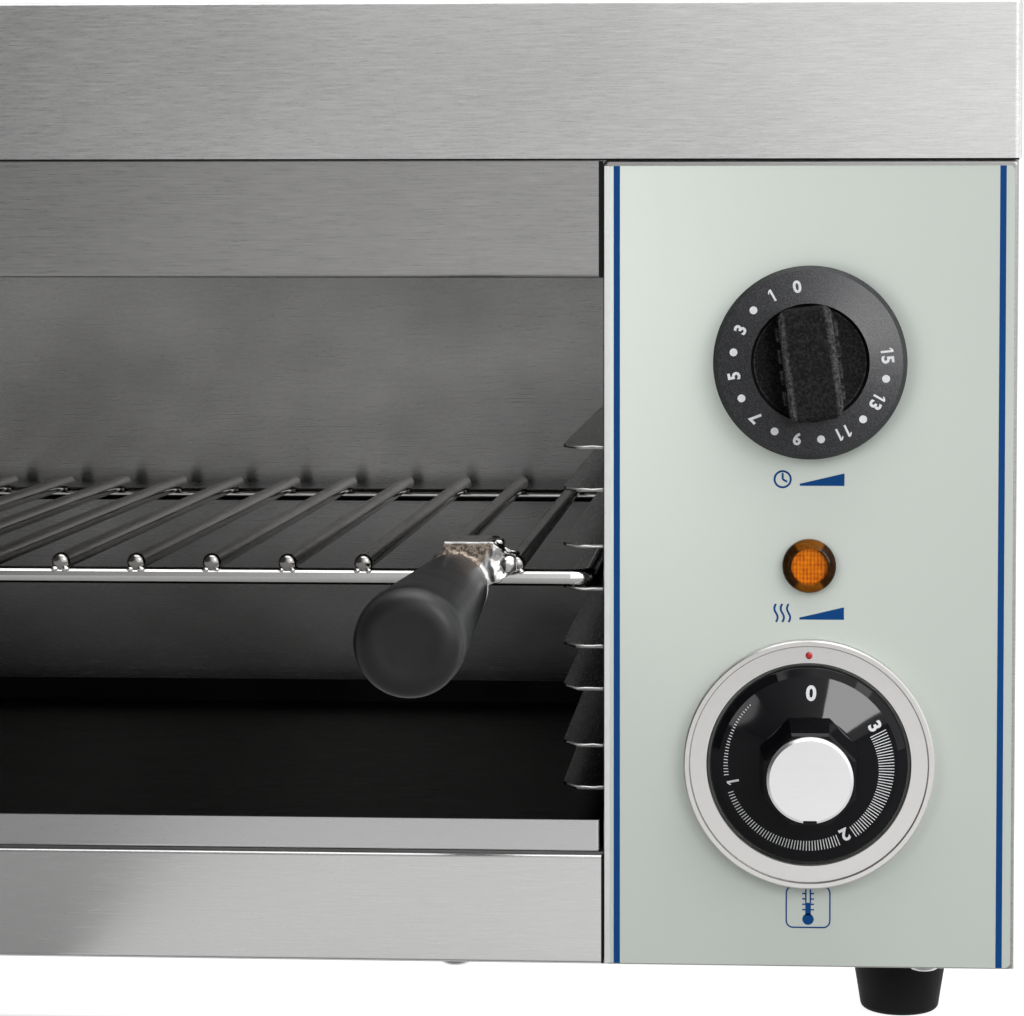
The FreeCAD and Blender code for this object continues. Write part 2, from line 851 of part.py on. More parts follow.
def make_rack_runners():
    """Folded channels on both walls, one pair to each height of the rack."""
    right = Piece("rack_runners_right")
    tip = "cavity_right - runner_reach"
    start = "front + runner_setback"
    end = "cavity_back - runner_end_gap"
    for level in range(SIZES["runner_levels"]):
        top = f"(runner_first + {level} * runner_pitch)"
        if level == REST_CHANNEL:
            top = "rest_level"
        web = ("cavity_right - runner_sheet", "cavity_right")
        right.box(web, (start, end), (f"{top} - runner_sheet", f"{top} + runner_slot + runner_sheet"))
        plan = [
            ("cavity_right - runner_sheet", start),
            ("cavity_right - runner_sheet", end),
            (tip, end),
            (tip, f"{start} + runner_nose_deep"),
            (f"{tip} + runner_nose_across", start),
        ]
        for height in (f"{top} - runner_sheet", f"{top} + runner_slot"):
            right.pad("XY", plan, "runner_sheet", level=height)
    right.fillet(
        "runner_nose_round",
        lambda edge: runs_along(edge, "z")
        and (at(edge, x=tip, y=f"{start} + runner_nose_deep")
             or at(edge, x=f"{tip} + runner_nose_across", y=start)),
    )
    image = mirrored(right.body, "cavity_mid")
    image.Label = "rack_runners_left"
    nodes["rack_runners_left"] = image


def make_reflector():
    """A polished hood under the deck that throws the heat down."""
    reflector = Piece("reflector")
    low = "deck_under - reflector_fold"
    near_edge = "front + flange_width + reflector_gap"
    far_edge = "cavity_back - reflector_gap"
    fold = "reflector_fold / 2"
    profile = [
        (near_edge, low),
        (f"{near_edge} + liner", low),
        (f"{near_edge} + liner + {fold}", "deck_under - liner"),
        (f"{far_edge} - liner - {fold}", "deck_under - liner"),
        (f"{far_edge} - liner", low),
        (far_edge, low),
        (f"{far_edge} - {fold}", "deck_under"),
        (f"{near_edge} + {fold}", "deck_under"),
    ]
    reflector.pad(
        "YZ",
        profile,
        "cavity_right - cavity_left - 2 * reflector_inset",
        level="cavity_left + reflector_inset",
    )


def bent_rod(points, corner, radius, closed=False):
    """A round rod along straight runs joined by arcs of one radius."""
    corners = [Vector(*point) for point in points]
    count = len(corners)
    turns = range(count) if closed else range(1, count - 1)
    starts = {}
    ends = {}
    arcs = {}
    for index in turns:
        here = corners[index]
        back = (corners[index - 1] - here).normalize()
        ahead = (corners[(index + 1) % count] - here).normalize()
        half = back.getAngle(ahead) / 2
        reach = corner / math.tan(half)
        middle = (back + ahead).normalize() * (corner / math.sin(half) - corner)
        starts[index] = here + back * reach
        ends[index] = here + ahead * reach
        arcs[index] = Part.Arc(starts[index], here + middle, ends[index]).toShape()
    edges = []
    runs = range(count) if closed else range(count - 1)
    for index in runs:
        following = (index + 1) % count
        first = ends.get(index, corners[index])
        last = starts.get(following, corners[following])
        edges.append(Part.LineSegment(first, last).toShape())
        if following in arcs:
            edges.append(arcs[following])
    path = Part.Wire(edges)
    first_run = edges[0]
    start = first_run.Vertexes[0].Point
    along = (first_run.Vertexes[-1].Point - start).normalize()
    section = Part.Wire([Part.makeCircle(radius, start, along)])
    return path.makePipeShell([section], True, True)


def make_heating_elements():
    """Hairpin tubes across the cooking space, with bushes, terminals and hangers."""
    radius = value("element_radius")
    height = value("element_z")
    inside = value("cavity_right + liner + element_inside")
    turn_x = value("cavity_left + element_left_gap")
    bend = value("element_half_span") - 0.01
    legs = [value(y) for y in element_legs()]
    tubes = []
    for number in range(SIZES["element_count"]):
        near_leg, far_leg = legs[2 * number], legs[2 * number + 1]
        points = [
            (inside, near_leg, height),
            (turn_x, near_leg, height),
            (turn_x, far_leg, height),
            (inside, far_leg, height),
        ]
        tubes.append(bent_rod(points, bend, radius))
    elements = doc.addObject("Part::Feature", "heating_elements")
    elements.Label = "heating_elements"
    elements.Shape = Part.makeCompound(tubes)
    nodes["heating_elements"] = elements
    bushes = Piece("element_bushes")
    terminals = Piece("element_terminals")
    for y in element_legs():
        bushes.rod("bush_radius", "bush_thick", "cavity_right + liner", y, "element_z", "+x")
        terminals.rod(
            "terminal_radius", "terminal_length", "cavity_right + liner + element_inside", y, "element_z", "+x"
        )
    for y in element_legs():
        bushes.rod("element_radius", "4 * bush_thick", "cavity_right", y, "element_z", "+x", cut=True)
    hangers = Piece("element_hangers")
    legs_y = element_legs()
    for x in ("cavity_left + hanger_inset", "cavity_right - hanger_inset"):
        hangers.box(
            (x, f"{x} + hanger_sheet"),
            (f"{legs_y[0]} - hanger_past", f"{legs_y[-1]} + hanger_past"),
            ("element_z - element_radius - hanger_below", "deck_under - liner"),
        )
        for y in legs_y:
            hangers.rod(
                "element_radius", "3 * hanger_sheet", f"{x} - hanger_sheet", y, "element_z", "+x", cut=True
            )


def make_insulation():
    """Mineral wool over the deck and in the left side."""
    over = Piece("insulation_top")
    inset = "lid_lip + wool_margin"
    over.box(
        (f"{inset} - half_lid", f"half_lid - ({inset})"),
        (f"front - lid_overhang + {inset}", f"rear + lid_overhang - ({inset})"),
        ("deck_top", "deck_top + wool_thick"),
    )
    for x, y, z in lid_screw_spots:
        over.rod("2 * screw_radius", "screw_length", x, y, z, "+z", cut=True)
    beside = Piece("insulation_left")
    beside.box(
        ("screw_length + wool_margin - half_body", "cavity_left - liner"),
        ("wall_front + flange_width + wool_margin", "cavity_back"),
        ("base_top", "deck_under - deck_skirt - wool_gap"),
    )


# Crumb tray


def make_crumb_tray():
    """A shallow pan with a folded front lip."""
    tray = Piece("crumb_tray")
    left, right = "cavity_left + tray_side_gap", "cavity_right - tray_side_gap"
    tray.box((left, right), ("tray_front", "tray_rear"), ("tray_bottom", "tray_bottom + tray_lip"))
    tray.box(
        (f"{left} + tray_sheet", f"{right} - tray_sheet"),
        ("tray_front + tray_sheet", "tray_rear - tray_sheet"),
        ("tray_bottom + tray_sheet", "tray_bottom + 2 * tray_lip"),
        cut=True,
    )
    tray.fillet(
        "tray_sheet",
        lambda edge: runs_along(edge, "z") and near(edge.BoundBox.ZLength, value("tray_lip"))
        and near(edge.BoundBox.Center.y, value("tray_front")),
    )
    tray.fillet(
        "tray_sheet * 0.9",
        lambda edge: at(edge, y="tray_front", z="tray_bottom"),
    )


# Grill rack


def rod_x(number):
    """The X place of a cross rod, counted from the right."""
    return f"rack_right - rod_inset - {number} * rod_pitch"


def make_rack():
    """A closed bent rod with cross rods welded on top of its front and rear rails."""
    frame = doc.addObject("Part::Feature", "rack_frame")
    frame.Label = "rack_frame"
    left, right = value("rack_left"), value("rack_right")
    near_rail, far_rail, height = value("rack_front"), value("rack_rear"), value("frame_z")
    corners = [
        (right, near_rail, height),
        (right, far_rail, height),
        (left, far_rail, height),
        (left, near_rail, height),
    ]
    frame.Shape = bent_rod(corners, value("rack_corner"), value("frame_radius"), closed=True)
    nodes["rack_frame"] = frame
    rods = Piece("rack_rods")
    for number in range(SIZES["rod_count"]):
        rods.rod(
            "cross_radius",
            "rack_rear - rack_front + rod_front_overhang + rod_rear_overhang",
            rod_x(number), "rod_start", "rod_z", "+y",
        )
    rods.fillet(
        "cross_radius * 0.8",
        lambda edge: round_edge(edge, "cross_radius", y="rod_start")
        or round_edge(edge, "cross_radius", y="rack_rear + rod_rear_overhang"),
    )
    for rail in ("rack_front", "rack_rear"):
        rods.rod("frame_radius", "rack_right - rack_left", "rack_left", rail, "frame_z", "+x", cut=True)


def tilt(thing):
    """Turn an upright object so that it points to the front and droops as the grips do."""
    thing.Placement.Rotation = TURNS["-y"]
    thing.setExpression("Placement.Rotation.Angle", qualified("90 + grip_droop"))


def along_grip(thing, back, x="handle_right"):
    """Turn a thing as the grip and start it behind the grip's base."""
    tilt(thing)
    place(
        thing,
        x,
        f"grip_front + ({back}) * cos(grip_droop)",
        f"handle_z + ({back}) * sin(grip_droop)",
    )


def make_handles():
    """A tapered grip and a casting that clamps the front rail, at each side of the rack."""
    casting = Piece("handle_bracket_right")
    collar = casting.rod("collar_radius", "collar_thick", "0", "0", "0")
    along_grip(collar, "collar_thick")
    top = "handle_z + casting_high"
    face = "grip_front + grip_base_radius * sin(grip_droop)"
    rear_face = "rack_front + frame_radius + casting_wall"
    outline = [
        ("handle_right - casting_left", top),
        ("handle_right + casting_flat", top),
        ("handle_right + clamp_x + clamp_head_radius", f"{top} - casting_shoulder / 2"),
        ("handle_right + casting_right", f"{top} - casting_shoulder"),
        ("handle_right + casting_right", "frame_z + frame_radius"),
        ("handle_right + clamp_x + casting_under", "frame_z - casting_under"),
        ("handle_right + casting_flat", "frame_z - frame_radius"),
        ("handle_right", "handle_z - casting_low"),
        ("handle_right - casting_left", "handle_z"),
    ]
    casting.pad("XZ", outline, f"{rear_face} - ({face})", level=f"-({rear_face})")
    casting.box(
        ("handle_right - casting_left", "handle_right + flange_right"),
        (face, f"{face} + flange_reach"),
        (f"{top} - flange_thick", top),
    )
    clamp_y = f"{rear_face} + clamp_head_radius"
    clamp_top = f"{top} - casting_shoulder / 2"
    casting.box(
        ("handle_right + clamp_x - clamp_head_radius", "handle_right + clamp_x + clamp_head_radius"),
        (face, f"{clamp_y} + clamp_head_radius"),
        (f"{clamp_top} - clamp_length - casting_wall", clamp_top),
    )
    casting.rod("frame_radius", "6 * casting_right", "handle_right - 3 * casting_right", "rack_front",
                "frame_z", "+x", cut=True)
    for number in (0, 1):
        casting.rod("cross_radius", "rack_rear - rack_front", rod_x(number), "rod_start", "rod_z", "+y",
                    cut=True)
    clamp_x = "handle_right + clamp_x"
    casting.rod("clamp_screw_radius", "2 * clamp_length", clamp_x, clamp_y,
                f"{clamp_top} - clamp_length", "+z", cut=True)
    casting.rod("clamp_head_radius", "clamp_length", clamp_x, clamp_y, clamp_top, "+z", cut=True)
    bore = casting.rod("stud_radius", "collar_thick", "0", "0", "0", cut=True)
    along_grip(bore, "collar_thick / 2")
    casting_image = mirrored(casting.body, "cavity_mid")
    del nodes["handle_bracket_right"]
    collect("handle_brackets", [casting.body, casting_image])

    screw = Piece("clamp_screw_right")
    screw.rod("clamp_screw_radius", "clamp_length", clamp_x, clamp_y, clamp_top, "-z")
    screw.rod("clamp_head_radius", "clamp_head_height", clamp_x, clamp_y, clamp_top, "+z")
    screw.fillet(
        "clamp_head_height / 2",
        lambda edge: round_edge(edge, "clamp_head_radius", z=f"{clamp_top} + clamp_head_height"),
    )
    screw.box(
        (f"{clamp_x} - clamp_head_radius", f"{clamp_x} + clamp_head_radius"),
        (f"{clamp_y} - clamp_head_radius / 6", f"{clamp_y} + clamp_head_radius / 6"),
        (f"{clamp_top} + clamp_head_height / 2", f"{clamp_top} + 2 * clamp_head_height"),
        cut=True,
    )
    del nodes["clamp_screw_right"]
    collect("handle_screws", [screw.body, mirrored(screw.body, "cavity_mid")])

    stud = Piece("grip_stud_right")
    stud_rod = stud.rod("stud_radius", "stud_length", "0", "0", "0")
    along_grip(stud_rod, "collar_thick / 2")
    del nodes["grip_stud_right"]
    collect("grip_studs", [stud.body, mirrored(stud.body, "cavity_mid")])

    grip = Piece("handle_grip_right")
    del nodes["handle_grip_right"]
    grip.upright([
        ("0", "0"),
        ("grip_base_radius", "0"),
        ("grip_end_radius", "grip_length - 2 * grip_edge"),
        ("grip_end_radius", "grip_length"),
        ("grip_dish_radius", "grip_length"),
        ("grip_dish_radius - grip_dish_slope", "grip_length - grip_dish_depth"),
        ("0", "grip_length - grip_dish_depth"),
    ])
    grip.fillet(
        "grip_edge",
        lambda edge: round_edge(edge, "grip_end_radius", z="grip_length"),
    )
    grip.rod("stud_radius", "stud_length - collar_thick / 2", "0", "0", "0", "+z", cut=True)
    hold = grip.body
    tilt(hold)
    place(hold, "handle_right", "grip_front", "handle_z")
    collect("handle_grips", [hold, mirrored(hold, "cavity_mid")])


# Controls


def make_timer():
    """The clockwork timer: box behind the panel, shaft, and the knob with its finger bar."""
    timer = Piece("timer_body")
    half = "timer_box / 2"
    timer.box(
        (f"panel_mid - {half}", f"panel_mid + {half}"),
        ("front_back", "front_back + timer_box_depth"),
        (f"timer_z - {half}", f"timer_z + {half}"),
    )
    timer.rod("shaft_radius + shaft_clearance", "timer_box_depth * 0.7", "panel_mid",
              "front_back - skin", "timer_z", "+y", cut=True)
    shaft = Piece("timer_shaft")
    shaft.rod("shaft_radius", "timer_box_depth / 2 + skin + timer_bar_height * 0.6", "panel_mid",
              "front_back + timer_box_depth / 2", "timer_z", "-y")
    knob = Piece("timer_knob")
    spot = ("panel_mid", "overlay_front", "timer_z", "timer_bar_turn")
    bar = knob.box(
        ("-timer_bar_width / 2", "timer_bar_width / 2"),
        ("-timer_bar_length / 2", "timer_bar_length / 2"),
        ("knob_gap", "timer_bar_height"),
    )
    lay_flat(bar, *spot, "-timer_bar_width / 2", "-timer_bar_length / 2", "knob_gap")
    knob.fillet("timer_bar_corner", lambda edge: runs_along(edge, "y"))
    knob.fillet(
        "timer_bar_round",
        lambda edge: near(edge.BoundBox.YMin, value("overlay_front - timer_bar_height"))
        and near(edge.BoundBox.YMax, value("overlay_front - timer_bar_height")),
    )
    for side in (-1, 1):
        across = f"{side} * timer_bar_width / 2 - timer_rib_width / 2"
        for row in range(SIZES["timer_rib_count"]):
            along = f"({row} - (timer_rib_count - 1) / 2) * timer_rib_pitch - timer_rib_length / 2"
            rib = knob.box(
                (across, f"{across} + timer_rib_width"),
                (along, f"{along} + timer_rib_length"),
                ("knob_gap", "timer_rib_height"),
            )
            lay_flat(rib, *spot, across, along, "knob_gap")
    knob.lathe(
        [
            ("0", "knob_gap"),
            ("timer_radius - timer_bevel", "knob_gap"),
            ("timer_radius", "knob_gap + timer_bevel"),
            ("timer_radius", "timer_skirt - timer_bevel"),
            ("timer_radius - timer_bevel", "timer_skirt"),
            ("timer_recess_radius", "timer_skirt"),
            ("timer_recess_radius - timer_recess_slope", "timer_skirt - timer_recess_depth"),
            ("0", "timer_skirt - timer_recess_depth"),
        ],
        "panel_mid", "overlay_front", "timer_z",
    )
    knob.rod("shaft_radius", "timer_bar_height * 0.6 + overlay_thick", "panel_mid", "front", "timer_z",
             "-y", cut=True)


def lay_flat(bar, x, y, z, turn, across, along, out):
    """Place a box drawn flat so that it stands on a face that looks to the front, turned about it."""
    spin = Rotation(Vector(0, 1, 0), -value(turn))
    bar.Placement.Rotation = spin.multiply(TURNS["-y"])
    side = f"({across}) * cos({turn}) - ({along}) * sin({turn})"
    rise = f"({across}) * sin({turn}) + ({along}) * cos({turn})"
    place(bar, f"{x} + {side}", f"{y} - ({out})", f"{z} + {rise}")


# The boss under the heat dial's cap has this many sides
BOSS_SIDES = 8


def make_regulator():
    """The heat regulator: box, shaft, ring on the panel, dial and its cap."""
    body = Piece("regulator_body")
    half = "heat_box / 2"
    body.box(
        (f"panel_mid - {half}", f"panel_mid + {half}"),
        ("front_back", "front_back + heat_box_depth"),
        (f"heat_z - {half}", f"heat_z + {half}"),
    )
    body.rod("shaft_radius + shaft_clearance", "heat_box_depth * 0.7", "panel_mid",
             "front_back - skin", "heat_z", "+y", cut=True)
    shaft = Piece("regulator_shaft")
    shaft.rod("shaft_radius", "heat_box_depth / 2 + skin + boss_height * 0.6", "panel_mid",
              "front_back + heat_box_depth / 2", "heat_z", "-y")
    bezel = Piece("heat_bezel")
    bezel.lathe(
        [
            ("bezel_inner_radius", "0"),
            ("bezel_radius", "0"),
            ("bezel_radius", "bezel_thick + bezel_rim - bezel_bevel"),
            ("bezel_radius - bezel_bevel", "bezel_thick + bezel_rim"),
            ("bezel_radius - bezel_rim_width + bezel_bevel", "bezel_thick + bezel_rim"),
            ("bezel_radius - bezel_rim_width", "bezel_thick"),
            ("bezel_inner_radius + bezel_bevel", "bezel_thick"),
            ("bezel_inner_radius", "bezel_thick - bezel_bevel"),
        ],
        "panel_mid", "overlay_front", "heat_z",
    )
    jewel_z = "heat_z + (bezel_inner_radius + bezel_radius - bezel_rim_width) / 2"
    bezel.rod("jewel_radius", "bezel_thick / 2", "panel_mid", "overlay_front - bezel_thick / 2", jewel_z,
              "-y", cut=True)
    jewel = Piece("index_jewel")
    jewel.rod("jewel_radius", "bezel_thick / 2 + jewel_height", "panel_mid",
              "overlay_front - bezel_thick / 2", jewel_z, "-y")
    jewel.fillet(
        "jewel_height * 0.8",
        lambda edge: round_edge(edge, "jewel_radius", y="overlay_front - bezel_thick - jewel_height"),
    )
    dial = Piece("heat_dial")
    face_edge = "dial_height - dial_fall"
    dial.lathe(
        [
            ("0", "knob_gap"),
            ("dial_radius", "knob_gap"),
            ("dial_radius", f"{face_edge} - dial_rim_fall"),
            ("dial_radius - dial_rim", face_edge),
            ("boss_flats / 2", "dial_height"),
            ("0", "dial_height"),
        ],
        "panel_mid", "overlay_front", "heat_z",
    )
    dial.fillet(
        "dial_rim_round",
        lambda edge: round_edge(edge, "dial_radius", y=f"overlay_front - ({face_edge} - dial_rim_fall)"),
    )
    corners = [f"({side} + 0.5) * 360 / {BOSS_SIDES}" for side in range(BOSS_SIDES)]
    reach = f"boss_flats / 2 / cos(180 / {BOSS_SIDES})"
    boss = dial.pad(
        "XZ",
        [(f"panel_mid + {reach} * cos({turn})", f"heat_z + {reach} * sin({turn})") for turn in corners],
        "boss_height - knob_gap",
        level="knob_gap - overlay_front",
    )
    bind(boss, TaperAngle="-boss_taper")
    dial.chamfer(
        "cap_bevel",
        lambda edge: near(edge.BoundBox.YMin, value("overlay_front - boss_height"))
        and near(edge.BoundBox.YMax, value("overlay_front - boss_height")),
    )
    dial.rod("shaft_radius", "boss_height * 0.6 + overlay_thick", "panel_mid", "front", "heat_z", "-y",
             cut=True)
    cap = Piece("knob_cap")
    cap.rod("cap_radius", "cap_height", "panel_mid", "overlay_front - boss_height", "heat_z", "-y")
    cap.chamfer(
        "cap_bevel",
        lambda edge: round_edge(edge, "cap_radius", y="overlay_front - boss_height - cap_height"),
    )
    cap.box(
        ("panel_mid - 2 * cap_notch", "panel_mid + 2 * cap_notch"),
        ("overlay_front - boss_height - 2 * cap_height", "overlay_front - boss_height"),
        ("heat_z - 2 * cap_radius", "heat_z - cap_radius + cap_notch"),
        cut=True,
    )


def make_pilot_lamp():
    """The amber lens in front of the panel, its body behind and the clip that holds it."""
    lens = Piece("pilot_lens")
    lens.rod("lens_radius", "lens_height", "panel_mid", "overlay_front", "lamp_z", "-y")
    lens.fillet(
        "lens_height * 0.6",
        lambda edge: round_edge(edge, "lens_radius", y="overlay_front - lens_height"),
    )
    lens.rod("lens_window_radius", "2 * lens_window_depth", "panel_mid",
             "overlay_front - lens_height + lens_window_depth", "lamp_z", "-y", cut=True)
    body = Piece("pilot_body")
    body.rod("lamp_body_radius", "lamp_body_length", "panel_mid", "overlay_front", "lamp_z", "+y")
    body.rod("lamp_body_radius / 2", "lamp_body_length / 3", "panel_mid",
             "overlay_front + lamp_body_length", "lamp_z", "+y")
    clip = Piece("pilot_clip")
    clip.rod("lamp_clip_radius", "lamp_clip_thick", "panel_mid", "front_back", "lamp_z", "+y")
    clip.rod("lamp_body_radius", "2 * lamp_clip_thick", "panel_mid", "front", "lamp_z", "+y", cut=True)


# Services


def block_way(number):
    """The X place of one way of the terminal block."""
    return f"gland_x + ({number} - (block_ways - 1) / 2) * block_length / block_ways"


def make_services():
    """The terminal block, the mains gland and the earth stud."""
    block = Piece("terminal_block")
    along = ("gland_x - block_length / 2", "gland_x + block_length / 2")
    deep = ("block_y - block_width / 2", "block_y + block_width / 2")
    block.box(along, deep, ("base_top", "base_top + block_height"))
    for way in range(SIZES["block_ways"]):
        block.rod("2 * screw_radius", "block_height", block_way(way), "block_y",
                  "base_top + block_height / 2", "+z", cut=True)
    gland = Piece("cable_gland")
    gland.rod("gland_thread", "skin + 2 * gland_hex_thick", "gland_x", "rear", "gland_z", "-y")
    gland.prism(6, "gland_hex", "gland_hex_thick", "gland_x", "rear", "gland_z", "+y")
    gland.rod("gland_cap_radius", "gland_cap_length", "gland_x", "rear + gland_hex_thick", "gland_z", "+y")
    gland.fillet(
        "gland_round",
        lambda edge: round_edge(edge, "gland_cap_radius", y="rear + gland_hex_thick + gland_cap_length"),
    )
    gland.rod("gland_bore", "4 * (gland_hex_thick + gland_cap_length)", "gland_x",
              "rear - 2 * (gland_hex_thick + gland_cap_length)", "gland_z", "+y", cut=True)
    nut = Piece("gland_nut")
    nut.prism(6, "gland_nut_hex", "gland_hex_thick", "gland_x", "rear_inner", "gland_z", "-y")
    nut.rod("gland_thread", "3 * gland_hex_thick", "gland_x", "rear_inner + gland_hex_thick", "gland_z",
            "-y", cut=True)
    earth = Piece("earth_stud")
    earth_y = "rear - earth_gap"
    earth.rod("earth_radius", "earth_height", "gland_x", earth_y, "base_top")
    for level in ("base_top", "base_top + earth_height / 2"):
        earth.prism(6, "earth_flats", "earth_nut", "gland_x", earth_y, level)


def make_wiring():
    """Insulated leads in the control box, bent round their corners."""
    back = value("block_y")
    block_top = value("base_top + block_height / 2 + lead_gap")
    ways = [value(block_way(number)) for number in range(SIZES["block_ways"])]
    legs = [value(y) for y in element_legs()]
    height = value("element_z")
    tip = value("terminal_end + lead_gap")
    room = tip + value("lead_room")
    fore = value("front + lead_front")
    heat_back = value("front_back + heat_box_depth + lead_gap")
    timer_back = value("front_back + timer_box_depth + lead_gap")
    lamp_back = value("overlay_front + lamp_body_length * 4 / 3 + lead_gap")
    heat_z, timer_z, lamp_z = value("heat_z"), value("timer_z"), value("lamp_z")
    middle = value("panel_mid")
    under = height - 2 * value("lead_room")
    routes = [
        [(ways[0], back, block_top), (ways[0], back, heat_z), (ways[0], heat_back, heat_z)],
        [(ways[1], back, block_top), (ways[1], back, timer_z), (ways[1], timer_back, timer_z)],
        [(ways[2], back, block_top), (ways[2], back, under), (room, legs[-1], under),
         (room, legs[-1], height), (tip, legs[-1], height)],
        [(ways[3], back, block_top), (ways[3], back, lamp_z), (ways[3], fore, lamp_z),
         (middle, fore, lamp_z), (middle, lamp_back, lamp_z)],
        [(tip, legs[0], height), (room, legs[0], height), (room, legs[0], heat_z),
         (room, heat_back, heat_z)],
    ]
    for first in range(1, len(legs) - 1, 2):
        routes.append([
            (tip, legs[first], height),
            (room, legs[first], height),
            (room, legs[first + 1], height),
            (tip, legs[first + 1], height),
        ])
    bend, radius = value("lead_bend"), value("lead_radius")
    wiring = doc.addObject("Part::Feature", "wiring")
    wiring.Label = "wiring"
    wiring.Shape = Part.makeCompound([bent_rod(route, bend, radius) for route in routes])
    nodes["wiring"] = wiring


# Feet and screws


def make_feet():
    """Four tapered rubber feet, each held by a screw from below."""
    feet = Piece("feet")
    screws = Piece("foot_screws")
    for x, y, z in foot_spots:
        feet.cone("foot_bottom_radius", "foot_top_radius", "foot_height", x, y, "0")
    feet.fillet("foot_edge", lambda edge: round_edge(edge, "foot_bottom_radius", z="0"))
    drill(feet, foot_spots, "+z", "2 * foot_height", radius="foot_bore")
    drill(feet, foot_spots, "+z", "foot_floor", radius="foot_counterbore")
    for x, y, z in foot_spots:
        screws.rod("screw_head_radius", "screw_head_height", x, y, "foot_floor", "-z")
        screws.rod("screw_radius", "foot_height - foot_floor + skin + foot_screw_reach", x, y,
                   "foot_floor", "+z")


def make_screws():
    """Dome-headed screws, one node to each group."""
    groups = {
        "base_screws": [(spot, "+z") for spot in base_screw_spots],
        "side_screws": [(spot, DIRECTIONS[spot[0]]) for spot in side_screw_spots],
        "rear_screws": [(spot, "-y") for spot in rear_screw_spots],
        "lid_screws": [(spot, "+z") for spot in lid_screw_spots],
    }
    opposite = {"+z": "-z", "-y": "+y", "+x": "-x", "-x": "+x"}
    for label, screws in groups.items():
        group = Piece(label)
        for (x, y, z), direction in screws:
            group.rod("screw_radius", "screw_length", x, y, z, direction)
            group.rod("screw_head_radius", "screw_head_height", x, y, z, opposite[direction])
        head = value("screw_head_radius")
        group.fillet(
            "screw_head_height * 0.85",
            lambda edge: hasattr(edge.Curve, "Radius") and near(edge.Curve.Radius, head)
            and outer_end(edge, screws, opposite),
        )


def outer_end(edge, screws, opposite):
    """Whether a circle is the outer rim of a screw's head."""
    for (x, y, z), direction in screws:
        away = TURNS[opposite[direction]].multVec(Vector(0, 0, value("screw_head_height")))
        tip = Vector(value(x), value(y), value(z)) + away
        if tip.distanceToPoint(edge.Curve.Center) < SLACK:
            return True
    return False


make_top_cover()
make_top_deck()
make_side_panel("side_panel_left", -1)
make_side_panel("side_panel_right", 1)
make_rear_panel()
make_base_plate()
make_lower_front_panel()
make_upper_front_guard()
make_control_panel()
make_control_overlay()
make_cavity()
make_rack_runners()
make_reflector()
make_heating_elements()
make_insulation()
make_crumb_tray()
make_rack()
make_handles()
make_timer()
make_regulator()
make_pilot_lamp()
make_services()
make_wiring()
make_feet()
make_screws()
doc.recompute()

failed = [thing.Name for thing in doc.Objects if {"Invalid", "Error"} & set(thing.State)]
if failed:
    raise ValueError(f"failed objects: {failed}")
for label, thing in nodes.items():
    if thing.Shape.isNull() or not thing.Shape.isValid() or not thing.Shape.Solids:
        raise ValueError(f"{label} has no valid solid")

os.makedirs("parts", exist_ok=True)
for label, thing in nodes.items():
    thing.Shape.exportStep(f"parts/{label}.step")
print(len(nodes), "nodes")
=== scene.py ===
import json
import math
import random

import bmesh
import bpy
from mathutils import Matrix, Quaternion, Vector, noise


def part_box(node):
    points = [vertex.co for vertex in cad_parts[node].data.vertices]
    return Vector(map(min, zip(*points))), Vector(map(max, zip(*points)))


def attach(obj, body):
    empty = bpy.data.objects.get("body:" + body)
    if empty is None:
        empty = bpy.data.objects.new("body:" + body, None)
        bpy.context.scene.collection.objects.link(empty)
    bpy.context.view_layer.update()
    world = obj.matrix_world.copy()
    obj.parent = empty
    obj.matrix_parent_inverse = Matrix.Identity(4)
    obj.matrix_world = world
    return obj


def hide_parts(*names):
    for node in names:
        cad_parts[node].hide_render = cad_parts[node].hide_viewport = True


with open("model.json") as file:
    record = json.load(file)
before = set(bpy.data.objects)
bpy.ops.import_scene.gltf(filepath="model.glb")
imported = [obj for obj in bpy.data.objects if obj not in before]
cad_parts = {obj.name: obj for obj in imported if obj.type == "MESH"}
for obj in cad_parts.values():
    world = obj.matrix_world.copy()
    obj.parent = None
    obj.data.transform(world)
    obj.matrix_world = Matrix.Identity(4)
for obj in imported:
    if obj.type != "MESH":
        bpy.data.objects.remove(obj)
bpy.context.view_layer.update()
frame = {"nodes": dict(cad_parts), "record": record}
MM = 0.001
random.seed(7)

# The camera. Its place comes from the photograph: the lines that run straight back meet at one
# pixel, the picture's scale on the control panel gives the distance, and upright lines lean a
# little together, which gives the pitch. A small yaw and shift share the off-centre crop.
PHOTO_WIDTH = 1024
PHOTO_HEIGHT = 1016
VANISHING_X = 765.0
VANISHING_Y = 245.0
FOCAL_PIXELS = 2835.0
SENSOR_WIDTH = 36.0
CAMERA_DISTANCE = 762.6 * MM
CAMERA_X = 230.5 * MM
CAMERA_Z = 214.2 * MM
CAMERA_SHIFT_X = -0.10
CAMERA_PITCH = math.radians(2.7)


